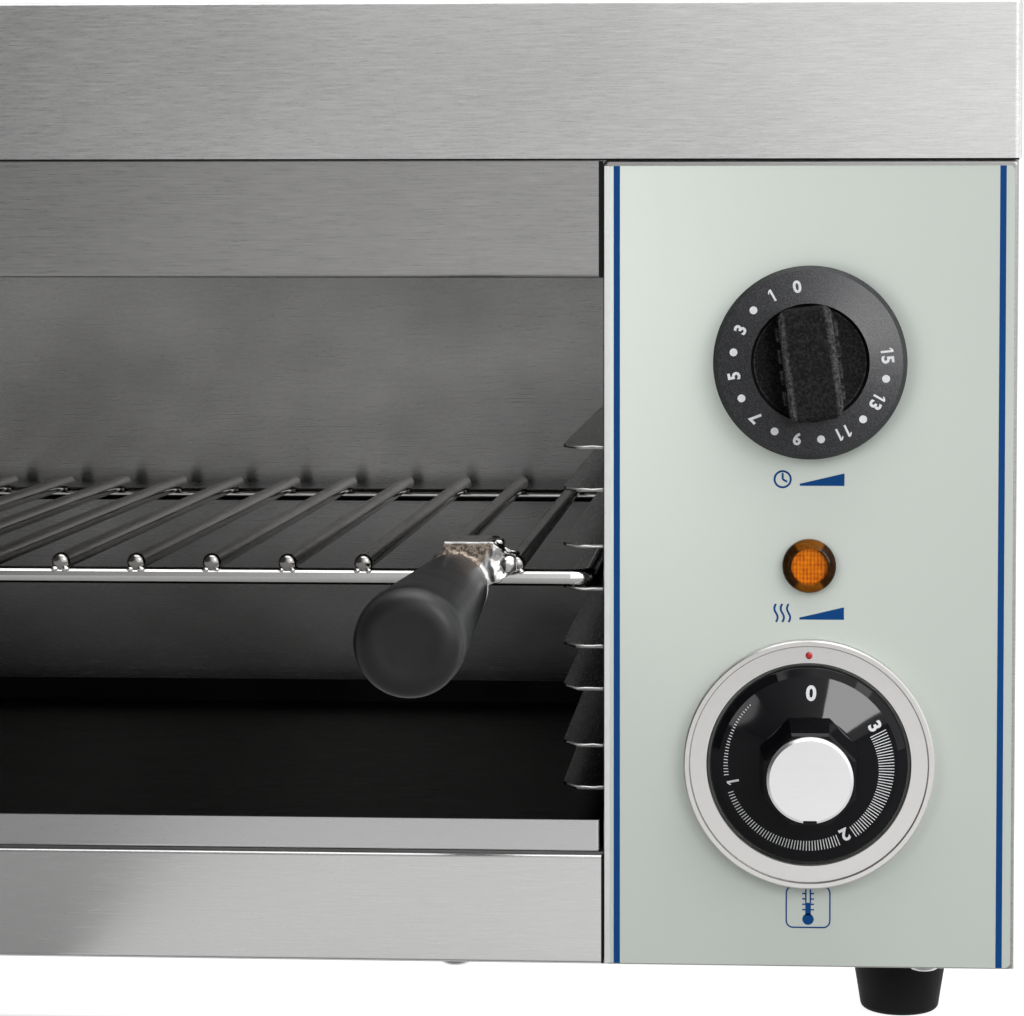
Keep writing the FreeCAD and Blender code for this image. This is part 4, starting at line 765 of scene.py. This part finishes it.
def add_figure(shape, text, height):
    """A plain number of one height about the origin."""
    for index, digit in enumerate(text):
        add_digit(shape, digit, height, (index - (len(text) - 1) / 2) * FIGURE_PITCH * height)


def put_round(shape, first, centre, turn, radius, surface):
    """Move the vertices from one on to a place on a dial, turned with their tops outward."""
    angle = math.radians(turn)
    for vertex in list(shape.verts)[first:]:
        across, out, up = vertex.co
        x = (radius + up) * math.sin(angle) + across * math.cos(angle)
        z = (radius + up) * math.cos(angle) - across * math.sin(angle)
        level = surface(math.hypot(x, z))
        vertex.co = (centre.x + x, PANEL_FACE - level - out, centre.z + z)


def put_flat(shape, first, x, z, face):
    """Move the vertices from one on to a place on a flat face."""
    for vertex in list(shape.verts)[first:]:
        across, out, up = vertex.co
        vertex.co = (x + across, face - out, z + up)


# Blue print on the control panel

STRIPE_WIDTH = 1.7 * MM
STRIPE_LEFT = 3.7 * MM
STRIPE_RIGHT = 4.2 * MM


def add_stripes():
    panel_low, panel_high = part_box("control_panel")
    half = STRIPE_WIDTH / 2
    shape = bmesh.new()
    for x in (panel_low.x + STRIPE_LEFT, panel_high.x - STRIPE_RIGHT):
        left, right = x - half, x + half
        add_plate(shape, [(left, overlay_low.z), (right, overlay_low.z), (right, overlay_high.z),
                          (left, overlay_high.z)])
    put_flat(shape, 0, 0.0, 0.0, PANEL_FACE)
    add_piece("panel_stripes", shape, "blue_ink", "housing")


# A clock face and a wedge that grows stand in the timer's place, waves and a wedge in the heat's
SYMBOL_DROP = 31.6 * MM
HEAT_SYMBOL_RISE = 40.6 * MM
SYMBOL_HIGH = 4.9 * MM
LINE = 0.55 * MM
WEDGE_LEFT = -2.6 * MM
WEDGE_LONG = 12.0 * MM
WEDGE_HIGH = 3.4 * MM
WEDGE_LIFT = 0.7 * MM
CLOCK_LEFT = -7.2 * MM
LONG_HAND = 1.7 * MM
SHORT_HAND = (1.2 * MM, -0.7 * MM)
WAVE_COUNT = 3
WAVE_LEFT = -8.9 * MM
WAVE_PITCH = 1.7 * MM
WAVE_SWING = 0.45 * MM
WAVE_STEPS = 16


def add_wedge(shape):
    low = -SYMBOL_HIGH / 2 + WEDGE_LIFT
    right = WEDGE_LEFT + WEDGE_LONG
    add_plate(shape, [(WEDGE_LEFT, low), (right, low), (right, low + WEDGE_HIGH), (WEDGE_LEFT, low + LINE)])


def add_symbols():
    shape = bmesh.new()
    centre = (CLOCK_LEFT, 0.0)
    radius = SYMBOL_HIGH / 2
    add_band(shape, ring_of(radius, centre=centre), ring_of(radius - LINE, centre=centre))
    stroke(shape, [centre, (CLOCK_LEFT, LONG_HAND)], LINE)
    stroke(shape, [centre, (CLOCK_LEFT + SHORT_HAND[0], SHORT_HAND[1])], LINE)
    add_wedge(shape)
    put_flat(shape, 0, TIMER.x, TIMER.z - SYMBOL_DROP, PANEL_FACE)
    first = len(shape.verts)
    for number in range(WAVE_COUNT):
        across = WAVE_LEFT + number * WAVE_PITCH
        points = []
        for step in range(WAVE_STEPS + 1):
            share = step / WAVE_STEPS
            points.append((across + WAVE_SWING * math.sin(2 * math.pi * share), (share - 0.5) * SYMBOL_HIGH))
        stroke(shape, points, LINE)
    add_wedge(shape)
    put_flat(shape, first, HEAT.x, HEAT.z + HEAT_SYMBOL_RISE, PANEL_FACE)
    add_piece("panel_symbols", shape, "blue_ink", "housing")


# A thermometer in a rounded frame under the heat ring
FRAME_HALF = 6.1 * MM
FRAME_BOTTOM = 45.2 * MM
FRAME_TOP = 33.6 * MM
FRAME_CORNER = 2.0 * MM
THIN_LINE = 0.40 * MM
BULB_DROP = 42.75 * MM
BULB = 1.55 * MM
BULB_NECK = 0.7 * BULB
TUBE_FILL = 4.5 * MM
FILL_HALF = 0.75 * MM
GLASS_HALF = 0.62 * MM
GLASS_GAP = 0.6 * MM
TICK_FIRST = 2.6 * MM
TICK_PITCH = 1.47 * MM
TICK_COUNT = 4
TICK_FROM = 0.7 * MM
TICK_TO = 1.6 * MM
CORNER_STEPS = 6


def rounded_frame(inset):
    """The corners of a rounded square about the heat dial's line, low in the panel."""
    loop = []
    half = FRAME_HALF - inset
    corner = FRAME_CORNER - inset
    spots = ((half, -FRAME_TOP - inset, 0.0), (half, -FRAME_BOTTOM + inset, 90.0),
             (-half, -FRAME_BOTTOM + inset, 180.0), (-half, -FRAME_TOP - inset, 270.0))
    for across, up, start in spots:
        middle_x = across - math.copysign(corner, across)
        middle_z = up + corner if up < -FRAME_TOP - corner else up - corner
        for step in range(CORNER_STEPS + 1):
            turn = math.radians(start + 90.0 * step / CORNER_STEPS)
            loop.append((middle_x + corner * math.sin(turn), middle_z + corner * math.cos(turn)))
    return loop


def add_thermometer():
    shape = bmesh.new()
    neck = -BULB_DROP + BULB_NECK
    filled = -BULB_DROP + TUBE_FILL
    glass_top = -FRAME_TOP - GLASS_GAP
    add_band(shape, rounded_frame(0.0), rounded_frame(THIN_LINE))
    add_plate(shape, ring_of(BULB, count=32, centre=(0.0, -BULB_DROP)))
    add_plate(shape, [(-FILL_HALF, neck), (FILL_HALF, neck), (FILL_HALF, filled), (-FILL_HALF, filled)])
    for side in (-1, 1):
        stroke(shape, [(side * GLASS_HALF, filled), (side * GLASS_HALF, glass_top)], THIN_LINE)
        for row in range(TICK_COUNT):
            up = -BULB_DROP + TICK_FIRST + row * TICK_PITCH
            stroke(shape, [(side * TICK_FROM, up), (side * TICK_TO, up)], THIN_LINE)
    put_flat(shape, 0, HEAT.x, HEAT.z, PANEL_FACE)
    add_piece("panel_thermometer", shape, "blue_ink", "housing")


# White marks on the timer's knob: the figures as (turn, figure), with a dot between each two
TIMER_FACE = 6.0 * MM
TIMER_MARK_RADIUS = 20.6 * MM
TIMER_FIGURES = ((-9.9, "0"), (-29.9, "1"), (-64.6, "3"), (-100.0, "5"), (-135.0, "7"), (-170.5, "9"),
                 (-206.0, "11"), (-240.5, "13"), (-276.0, "15"))
TIMER_FIGURE_HIGH = 3.4 * MM
TIMER_DOT = 1.05 * MM


def timer_face(reach):
    """How far the knob's face stands off the panel: the same at any distance from its axis."""
    return TIMER_FACE


def add_timer_marks():
    shape = bmesh.new()
    for index, (turn, figure) in enumerate(TIMER_FIGURES):
        first = len(shape.verts)
        add_figure(shape, figure, TIMER_FIGURE_HIGH)
        put_round(shape, first, TIMER, turn, TIMER_MARK_RADIUS, timer_face)
        if 0 < index < len(TIMER_FIGURES) - 1:
            between = (turn + TIMER_FIGURES[index + 1][0]) / 2
            first = len(shape.verts)
            add_plate(shape, ring_of(TIMER_DOT, count=24))
            put_round(shape, first, TIMER, between, TIMER_MARK_RADIUS, timer_face)
    add_piece("timer_marks", shape, "white_ink", "timer_knob")


# White marks on the sloping face of the heat dial: figures as (turn, figure, height), a nought of its
# own, and ticks that grow longer round the scale
FACE_INNER = 13.6 * MM
FACE_OUTER = 24.2 * MM
FACE_HIGH = 6.6 * MM
FACE_LOW = 4.9 * MM
HEAT_MARK_RADIUS = 20.8 * MM
HEAT_FIGURES = ((-102.5, "1", 3.3 * MM), (-207.8, "2", 3.6 * MM), (-301.9, "3", 3.7 * MM))
HEAT_ZERO_TURN = 1.6
HEAT_ZERO_RADIUS = 19.8 * MM
HEAT_ZERO_HIGH = 4.2 * MM
SCALE_START = -44.0
SCALE_END = -297.5
SCALE_STEP = 2.1
SCALE_OUTER = 22.9 * MM
SCALE_INNER_START = 22.5 * MM
SCALE_INNER_END = 18.2 * MM
TICK_WIDTH = 0.22 * MM
FIGURE_ROOM = 4.6


def heat_face(reach):
    """How far the dial's face stands off the panel at a distance from its axis."""
    share = (reach - FACE_INNER) / (FACE_OUTER - FACE_INNER)
    return FACE_HIGH + share * (FACE_LOW - FACE_HIGH)


def add_heat_marks():
    shape = bmesh.new()
    for turn, figure, high in HEAT_FIGURES:
        first = len(shape.verts)
        add_figure(shape, figure, high)
        put_round(shape, first, HEAT, turn, HEAT_MARK_RADIUS, heat_face)
    first = len(shape.verts)
    add_figure(shape, "0", HEAT_ZERO_HIGH)
    put_round(shape, first, HEAT, HEAT_ZERO_TURN, HEAT_ZERO_RADIUS, heat_face)
    count = int((SCALE_START - SCALE_END) / SCALE_STEP)
    for index in range(count + 1):
        turn = SCALE_START - index * SCALE_STEP
        if any(abs(turn - figure[0]) < FIGURE_ROOM for figure in HEAT_FIGURES):
            continue
        share = (turn - SCALE_START) / (SCALE_END - SCALE_START)
        inner = SCALE_INNER_START + share * (SCALE_INNER_END - SCALE_INNER_START)
        first = len(shape.verts)
        half = TICK_WIDTH / 2
        add_plate(shape, [(-half, inner), (half, inner), (half, SCALE_OUTER), (-half, SCALE_OUTER)])
        put_round(shape, first, HEAT, turn, 0.0, heat_face)
    add_piece("heat_marks", shape, "white_ink", "heat_knob")


# Pieces that take a solid's own form and soften it


def softened(name, node, voxel, rounds):
    """A finely meshed copy of a node's solid with its edges smoothed, as a mesh."""
    source = bpy.data.objects.new(name, frame["nodes"][node].data.copy())
    bpy.context.scene.collection.objects.link(source)
    remesh = source.modifiers.new("fine", "REMESH")
    remesh.mode = "VOXEL"
    remesh.voxel_size = voxel
    smooth = source.modifiers.new("soften", "SMOOTH")
    smooth.factor = 0.5
    smooth.iterations = rounds
    graph = bpy.context.evaluated_depsgraph_get()
    mesh = bpy.data.meshes.new_from_object(source.evaluated_get(graph))
    bpy.data.objects.remove(source)
    mesh.name = name
    shade_smooth(mesh)
    return mesh


# Cast brackets: smooth at the flange and lumpy, as a rough casting is, round the rail
CAST_VOXEL = 0.30 * MM
CAST_ROUNDS = 5
LUMP_SIZE = 3.6 * MM
LUMP_HEIGHT = 1.5 * MM
LUMP_SINK = 0.40
LUMP_FULL = 6.2 * MM
LUMP_NONE = 8.8 * MM
LUMP_LEAST = 0.06
FINE_LUMPS = 2.6
FINE_LUMP_SHARE = 0.18


def add_castings():
    mesh = softened("handle_castings", "handle_brackets", CAST_VOXEL, CAST_ROUNDS)
    low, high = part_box("handle_brackets")
    middle = (low.x + high.x) / 2
    half = (high.x - low.x) / 2
    normals = [vertex.normal.copy() for vertex in mesh.vertices]
    for vertex, normal in zip(mesh.vertices, normals):
        from_end = half - abs(vertex.co.x - middle)
        share = (LUMP_NONE - from_end) / (LUMP_NONE - LUMP_FULL)
        share = min(max(share, LUMP_LEAST), 1.0)
        spot = vertex.co / LUMP_SIZE
        lump = noise.noise(spot) + FINE_LUMP_SHARE * noise.noise(spot * FINE_LUMPS)
        vertex.co += normal * (lump - LUMP_SINK) * LUMP_HEIGHT * share
    castings = place_mesh(mesh, "cast_chrome", "grill_rack")
    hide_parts("handle_brackets")


# Grips: the turned form with a soft end
GRIP_VOXEL = 0.6 * MM
GRIP_ROUNDS = 28


def add_grips():
    mesh = softened("soft_grips", "handle_grips", GRIP_VOXEL, GRIP_ROUNDS)
    grips = place_mesh(mesh, "black_grip", "grill_rack")
    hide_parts("handle_grips")


# Thin black strips in the seams under the lid and beside the two front sheets: painted shadow where the gaps
# are dark
SHADOW_STRIP_HIGH = 0.42 * MM
SHADOW_STRIP_THICK = 0.3 * MM
SHADOW_STRIP_BACK = 0.6 * MM


def add_box(shape, lows, highs):
    """A closed box between two corners."""
    made = bmesh.ops.create_cube(shape, size=1.0)
    for vertex in made["verts"]:
        vertex.co = [low + (part + 0.5) * (high - low) for part, low, high in zip(vertex.co, lows, highs)]


def add_seam_shadows():
    lid_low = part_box("top_cover")[0]
    panel_low, panel_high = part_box("control_panel")
    guard_low, guard_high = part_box("upper_front_guard")
    apron_low, apron_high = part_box("lower_front_panel")
    face = guard_low.y
    # Painted shadow: black strips stand for the dark inside the gaps
    shape = bmesh.new()
    add_box(shape, (guard_low.x, face - SHADOW_STRIP_THICK, lid_low.z - SHADOW_STRIP_HIGH), (panel_high.x, face, lid_low.z))
    for low, high in ((guard_low, guard_high), (apron_low, apron_high)):
        back = face + SHADOW_STRIP_BACK
        add_box(shape, (high.x, back, low.z), (panel_low.x, back + SHADOW_STRIP_THICK, high.z))
    add_piece("painted_seam_shadows", shape, "painted_shadow_black", "housing")


# A near-white steel strip on the left of the control panel, where the printed sheet leaves the steel bare:
# painted highlight along the panel's edge
MARGIN_FROM = 0.35 * MM
MARGIN_TO = 1.75 * MM


def add_margin_highlight():
    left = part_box("control_panel")[0].x
    lows = (left + MARGIN_FROM, PANEL_FACE - FILM, overlay_low.z)
    highs = (left + MARGIN_TO, PANEL_FACE, overlay_high.z)
    shape = bmesh.new()
    add_box(shape, lows, highs)
    add_piece("panel_edge_highlight", shape, "margin_steel", "housing")


# Thin bright lines along the front edges of the runners, painted highlights that wave a little, each in
# its own way. The runners' own sizes are those of the part's source.
RUNNER_PITCH = 27.13 * MM
RUNNER_SLOT = 10.7 * MM
RUNNER_SHEET = 0.9 * MM
RUNNER_LEVELS = 4
NOSE_ACROSS = 4.2 * MM
NOSE_DEEP = 7.0 * MM
GLINT_RADIUS = 0.26 * MM
GLINT_SIDES = 6
GLINT_STEPS = 4
GLINT_SWING = 0.12 * MM
GLINT_WAVE = 9.0
GLINT_LEVEL_TURN = 2.1
GLINT_RISE_TURN = 3.0 / RUNNER_SLOT
GLINT_END_ACROSS = 0.25
GLINT_END_DEEP = 0.62


def add_wire(shape, points, radius):
    """A thin closed tube through points."""
    rings = []
    for index, point in enumerate(points):
        before = points[max(index - 1, 0)]
        after = points[min(index + 1, len(points) - 1)]
        run = (after - before).normalized()
        side = run.cross(Vector((0.0, 0.0, 1.0))).normalized()
        ring = []
        for step in range(GLINT_SIDES):
            turn = 2 * math.pi * step / GLINT_SIDES
            spot = point + side * radius * math.cos(turn) + Vector((0.0, 0.0, radius * math.sin(turn)))
            ring.append(shape.verts.new(spot))
        rings.append(ring)
    for first, second in zip(rings, rings[1:]):
        for step in range(GLINT_SIDES):
            after = (step + 1) % GLINT_SIDES
            shape.faces.new((first[step], first[after], second[after], second[step]))
    shape.faces.new(rings[0])
    shape.faces.new(reversed(rings[-1]))


def add_edge_glints():
    shape = bmesh.new()
    for node, inward in (("rack_runners_right", -1), ("rack_runners_left", 1)):
        low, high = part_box(node)
        wall, tip = (high.x, low.x) if inward < 0 else (low.x, high.x)
        for level in range(RUNNER_LEVELS):
            for rise in (0.0, RUNNER_SLOT + RUNNER_SHEET):
                top = low.z + RUNNER_SHEET + level * RUNNER_PITCH + rise
                path = []
                for step in range(GLINT_STEPS + 1):
                    share = step / GLINT_STEPS
                    x = wall + share * (tip - inward * NOSE_ACROSS - wall)
                    turn = GLINT_WAVE * share + GLINT_LEVEL_TURN * level + GLINT_RISE_TURN * rise
                    path.append(Vector((x, low.y, top - GLINT_RADIUS + GLINT_SWING * math.sin(turn))))
                end_x = tip - inward * GLINT_END_ACROSS * NOSE_ACROSS
                path.append(Vector((end_x, low.y + GLINT_END_DEEP * NOSE_DEEP, top - GLINT_RADIUS)))
                add_wire(shape, path, GLINT_RADIUS)
    # Painted highlight: bright lines stand for the light the runners' front edges catch
    glints = add_piece("runner_edge_highlights", shape, "painted_edge_highlight", "housing")
    shade_smooth(glints.data)


# Weld beads where the rods cross the rails: four to a crossing, each of its own size and a little
# uneven, flatter in height than in length
ROD_COUNT = 21
BEAD = 1.25 * MM
BEAD_LEAST = 0.75
BEAD_MOST = 1.15
BEAD_ASIDE = 0.62
BEAD_ALONG = 0.55
BEAD_SINK = 0.55 * MM
BEAD_WIDE = 0.9
BEAD_HIGH = 0.7
BULGE = 0.14
BULGE_ACROSS = 9
BULGE_UP = 7


def add_weld_beads():
    frame_low, frame_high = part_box("rack_frame")
    rods_low, rods_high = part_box("rack_rods")
    rod_radius = (rods_high.z - rods_low.z) / 2
    rail_radius = (frame_high.z - frame_low.z) / 2
    left, right = rods_low.x + rod_radius, rods_high.x - rod_radius
    pitch = (right - left) / (ROD_COUNT - 1)
    shape = bmesh.new()
    for number in range(ROD_COUNT):
        for rail in (frame_low.y + rail_radius, frame_high.y - rail_radius):
            for side in (-1, 1):
                for end in (-1, 1):
                    first = len(shape.verts)
                    bmesh.ops.create_icosphere(shape, subdivisions=2, radius=1.0)
                    size = BEAD * random.uniform(BEAD_LEAST, BEAD_MOST)
                    x = right - number * pitch + side * rod_radius * BEAD_ASIDE
                    y = rail + end * rail_radius * BEAD_ALONG
                    z = frame_high.z - BEAD_SINK
                    for vertex in list(shape.verts)[first:]:
                        across = math.sin(BULGE_ACROSS * vertex.co.x + number)
                        up = math.cos(BULGE_UP * vertex.co.z + side)
                        spot = vertex.co * size * (1 + BULGE * across * up)
                        vertex.co = (x + spot.x * BEAD_WIDE, y + spot.y, z + spot.z * BEAD_HIGH)
    beads = add_piece("weld_beads", shape, "weld_chrome", "grill_rack")
    shade_smooth(beads.data)


add_stripes()
add_symbols()
add_thermometer()
add_timer_marks()
add_heat_marks()
add_castings()
add_grips()
add_seam_shadows()
add_margin_highlight()
add_edge_glints()
add_weld_beads()


# Light and floor

FLOOR_SIZE = 12.0
FLOOR_GLOW = 0.90
GLOW_BEHIND_FACE = 1.34 * MM
GLOW_SPREAD = 9.5 * MM


def add_floor():
    """A plain pale floor, lit from beneath under the object and behind it."""
    shader = Shader("floor_face")
    grain = shader.noise(even(30.0))
    shader.colour(shader.fade(grain, grey(0.33), grey(0.35), low=0.2, high=0.8))
    glow_front = PANEL_FACE + GLOW_BEHIND_FACE
    glow = shader.span(shader.axis("Y"), glow_front, glow_front + GLOW_SPREAD, 0.0, FLOOR_GLOW)
    shader.join(glow, shader.surface.inputs["Emission Strength"])
    shader.set(Roughness=0.9, Emission_Color=(1.0, 1.0, 1.0, 1.0))
    bpy.ops.mesh.primitive_plane_add(size=FLOOR_SIZE, location=(0.0, 0.0, 0.0))
    floor = bpy.context.object
    floor.name = "floor"
    floor.data.materials.append(shader.material)


def off_panel(middle, across=0.0, out=0.0, up=0.0):
    """A place in front of the control panel, off a control's middle, in metres."""
    return Vector((middle.x + across, PANEL_FACE - out, middle.z + up))


def add_light(name, place, target, size, power, roll=0.0):
    """A soft rectangular light that looks at a target, turned about its own line of sight.

    Places and sizes are in metres, the power is in watts and the roll in degrees.
    """
    data = bpy.data.lights.new(name, "AREA")
    data.shape = "RECTANGLE"
    data.size, data.size_y = size
    data.energy = power
    light = bpy.data.objects.new(name, data)
    light.location = place
    light.visible_camera = False
    aim = (Vector(target) - Vector(place)).to_track_quat("-Z", "Y")
    light.rotation_euler = (aim @ Quaternion((0.0, 0.0, 1.0), math.radians(roll))).to_euler()
    bpy.context.scene.collection.objects.link(light)
    return light


def add_catch_light(name, place, target, size, power, nodes, roll=0.0):
    """A soft light that only the named nodes catch."""
    light = add_light(name, place, target, size, power, roll)
    receivers = bpy.data.collections.new(name)
    for node in nodes:
        receivers.objects.link(frame["nodes"][node])
    light.light_linking.receiver_collection = receivers


# Low steel faces mirror the floor in front of them, which is brighter toward the right: soft lights
# lie on it side by side, each with its own left edge.
LOW_EDGES = (0.03, 0.07, 0.11, 0.15)
LOW_RIGHT = 0.40
LOW_FRONT = -0.53
LOW_BACK = -0.13
LOW_LIFT = 4.0 * MM
LOW_TILT = 0.01
LOW_LEVEL = 0.53
LOW_STEEL = ("lower_front_panel", "crumb_tray", "heat_bezel", "knob_cap")


def add_low_lights():
    deep = LOW_BACK - LOW_FRONT
    middle_y = (LOW_BACK + LOW_FRONT) / 2
    for number, left in enumerate(LOW_EDGES):
        wide = LOW_RIGHT - left
        x = (LOW_RIGHT + left) / 2
        power = LOW_LEVEL * math.pi * wide * deep
        add_catch_light(f"low_{number + 1}", (x, middle_y, LOW_LIFT), (x, middle_y + LOW_TILT, 1.0),
                        (wide, deep), power, LOW_STEEL)


def add_studio_lights():
    add_light("key_right", place=(1.6, -1.8, 1.4), target=(0.1, 0.0, 0.15), size=(1.2, 1.2), power=13.0)
    add_light("top_soft", place=(0.2, -0.4, 2.2), target=(0.1, 0.0, 0.2), size=(2.0, 1.6), power=24.0)


# Soft lights for the highlights of the dial and the lamp, the timer's knob and the printed sheet
CATCH_OUT = 0.4002
GLOSSY = ("heat_dial", "pilot_lens")


def add_control_lights():
    dial = off_panel(HEAT)
    add_catch_light("catch_left", off_panel(HEAT, across=-0.1322, out=CATCH_OUT, up=0.0421), target=dial,
                    size=(0.045, 0.075), power=0.045, nodes=GLOSSY, roll=-40.0)
    add_catch_light("catch_right", off_panel(HEAT, across=0.1104, out=CATCH_OUT, up=0.0756), target=dial,
                    size=(0.134, 0.100), power=0.70, nodes=GLOSSY)
    add_catch_light("sheen", off_panel(TIMER, across=0.1094, out=CATCH_OUT, up=0.0492),
                    target=off_panel(TIMER), size=(0.070, 0.070), power=0.62, nodes=("timer_knob",))
    add_catch_light("panel_soft", off_panel(LAMP, across=-0.1226, out=0.1852, up=0.0721),
                    target=off_panel(LAMP, up=0.0221), size=(0.15, 0.15), power=0.235,
                    nodes=("control_overlay",))


# In front of the object the studio is dim on the left and pale on the right: pairs of a direction's
# X, moved to run from 0 to 1, and a level. Behind the object it fades to one grey, which is full where
# a direction's Y passes this value.
STUDIO = ((0.0, 0.04), (0.33, 0.055), (0.41, 0.27), (0.455, 0.455), (0.50, 0.68), (0.545, 1.0), (1.0, 1.0))
STUDIO_STRENGTH = 1.5
STUDIO_BEHIND = 0.70
BEHIND_FULL = 0.5


def add_world():
    world = bpy.data.worlds.new("studio")
    world.use_nodes = True
    studio = Nodes(world.node_tree, "Generated")
    sideways = studio.span(studio.axis("X"), -1.0, 1.0, 0.0, 1.0)
    front = studio.ramp(sideways, [(spot, grey(level)) for spot, level in STUDIO])
    behind = studio.span(studio.axis("Y"), 0.0, BEHIND_FULL, 0.0, 1.0)
    background = studio.tree.nodes["Background"]
    whole = studio.mix(behind, front, (*grey(STUDIO_BEHIND), 1.0))
    studio.join(whole, background.inputs["Color"])
    background.inputs["Strength"].default_value = STUDIO_STRENGTH
    bpy.context.scene.world = world


add_floor()
add_world()
add_studio_lights()
add_control_lights()
add_low_lights()
bpy.context.scene.view_settings.view_transform = "Standard"
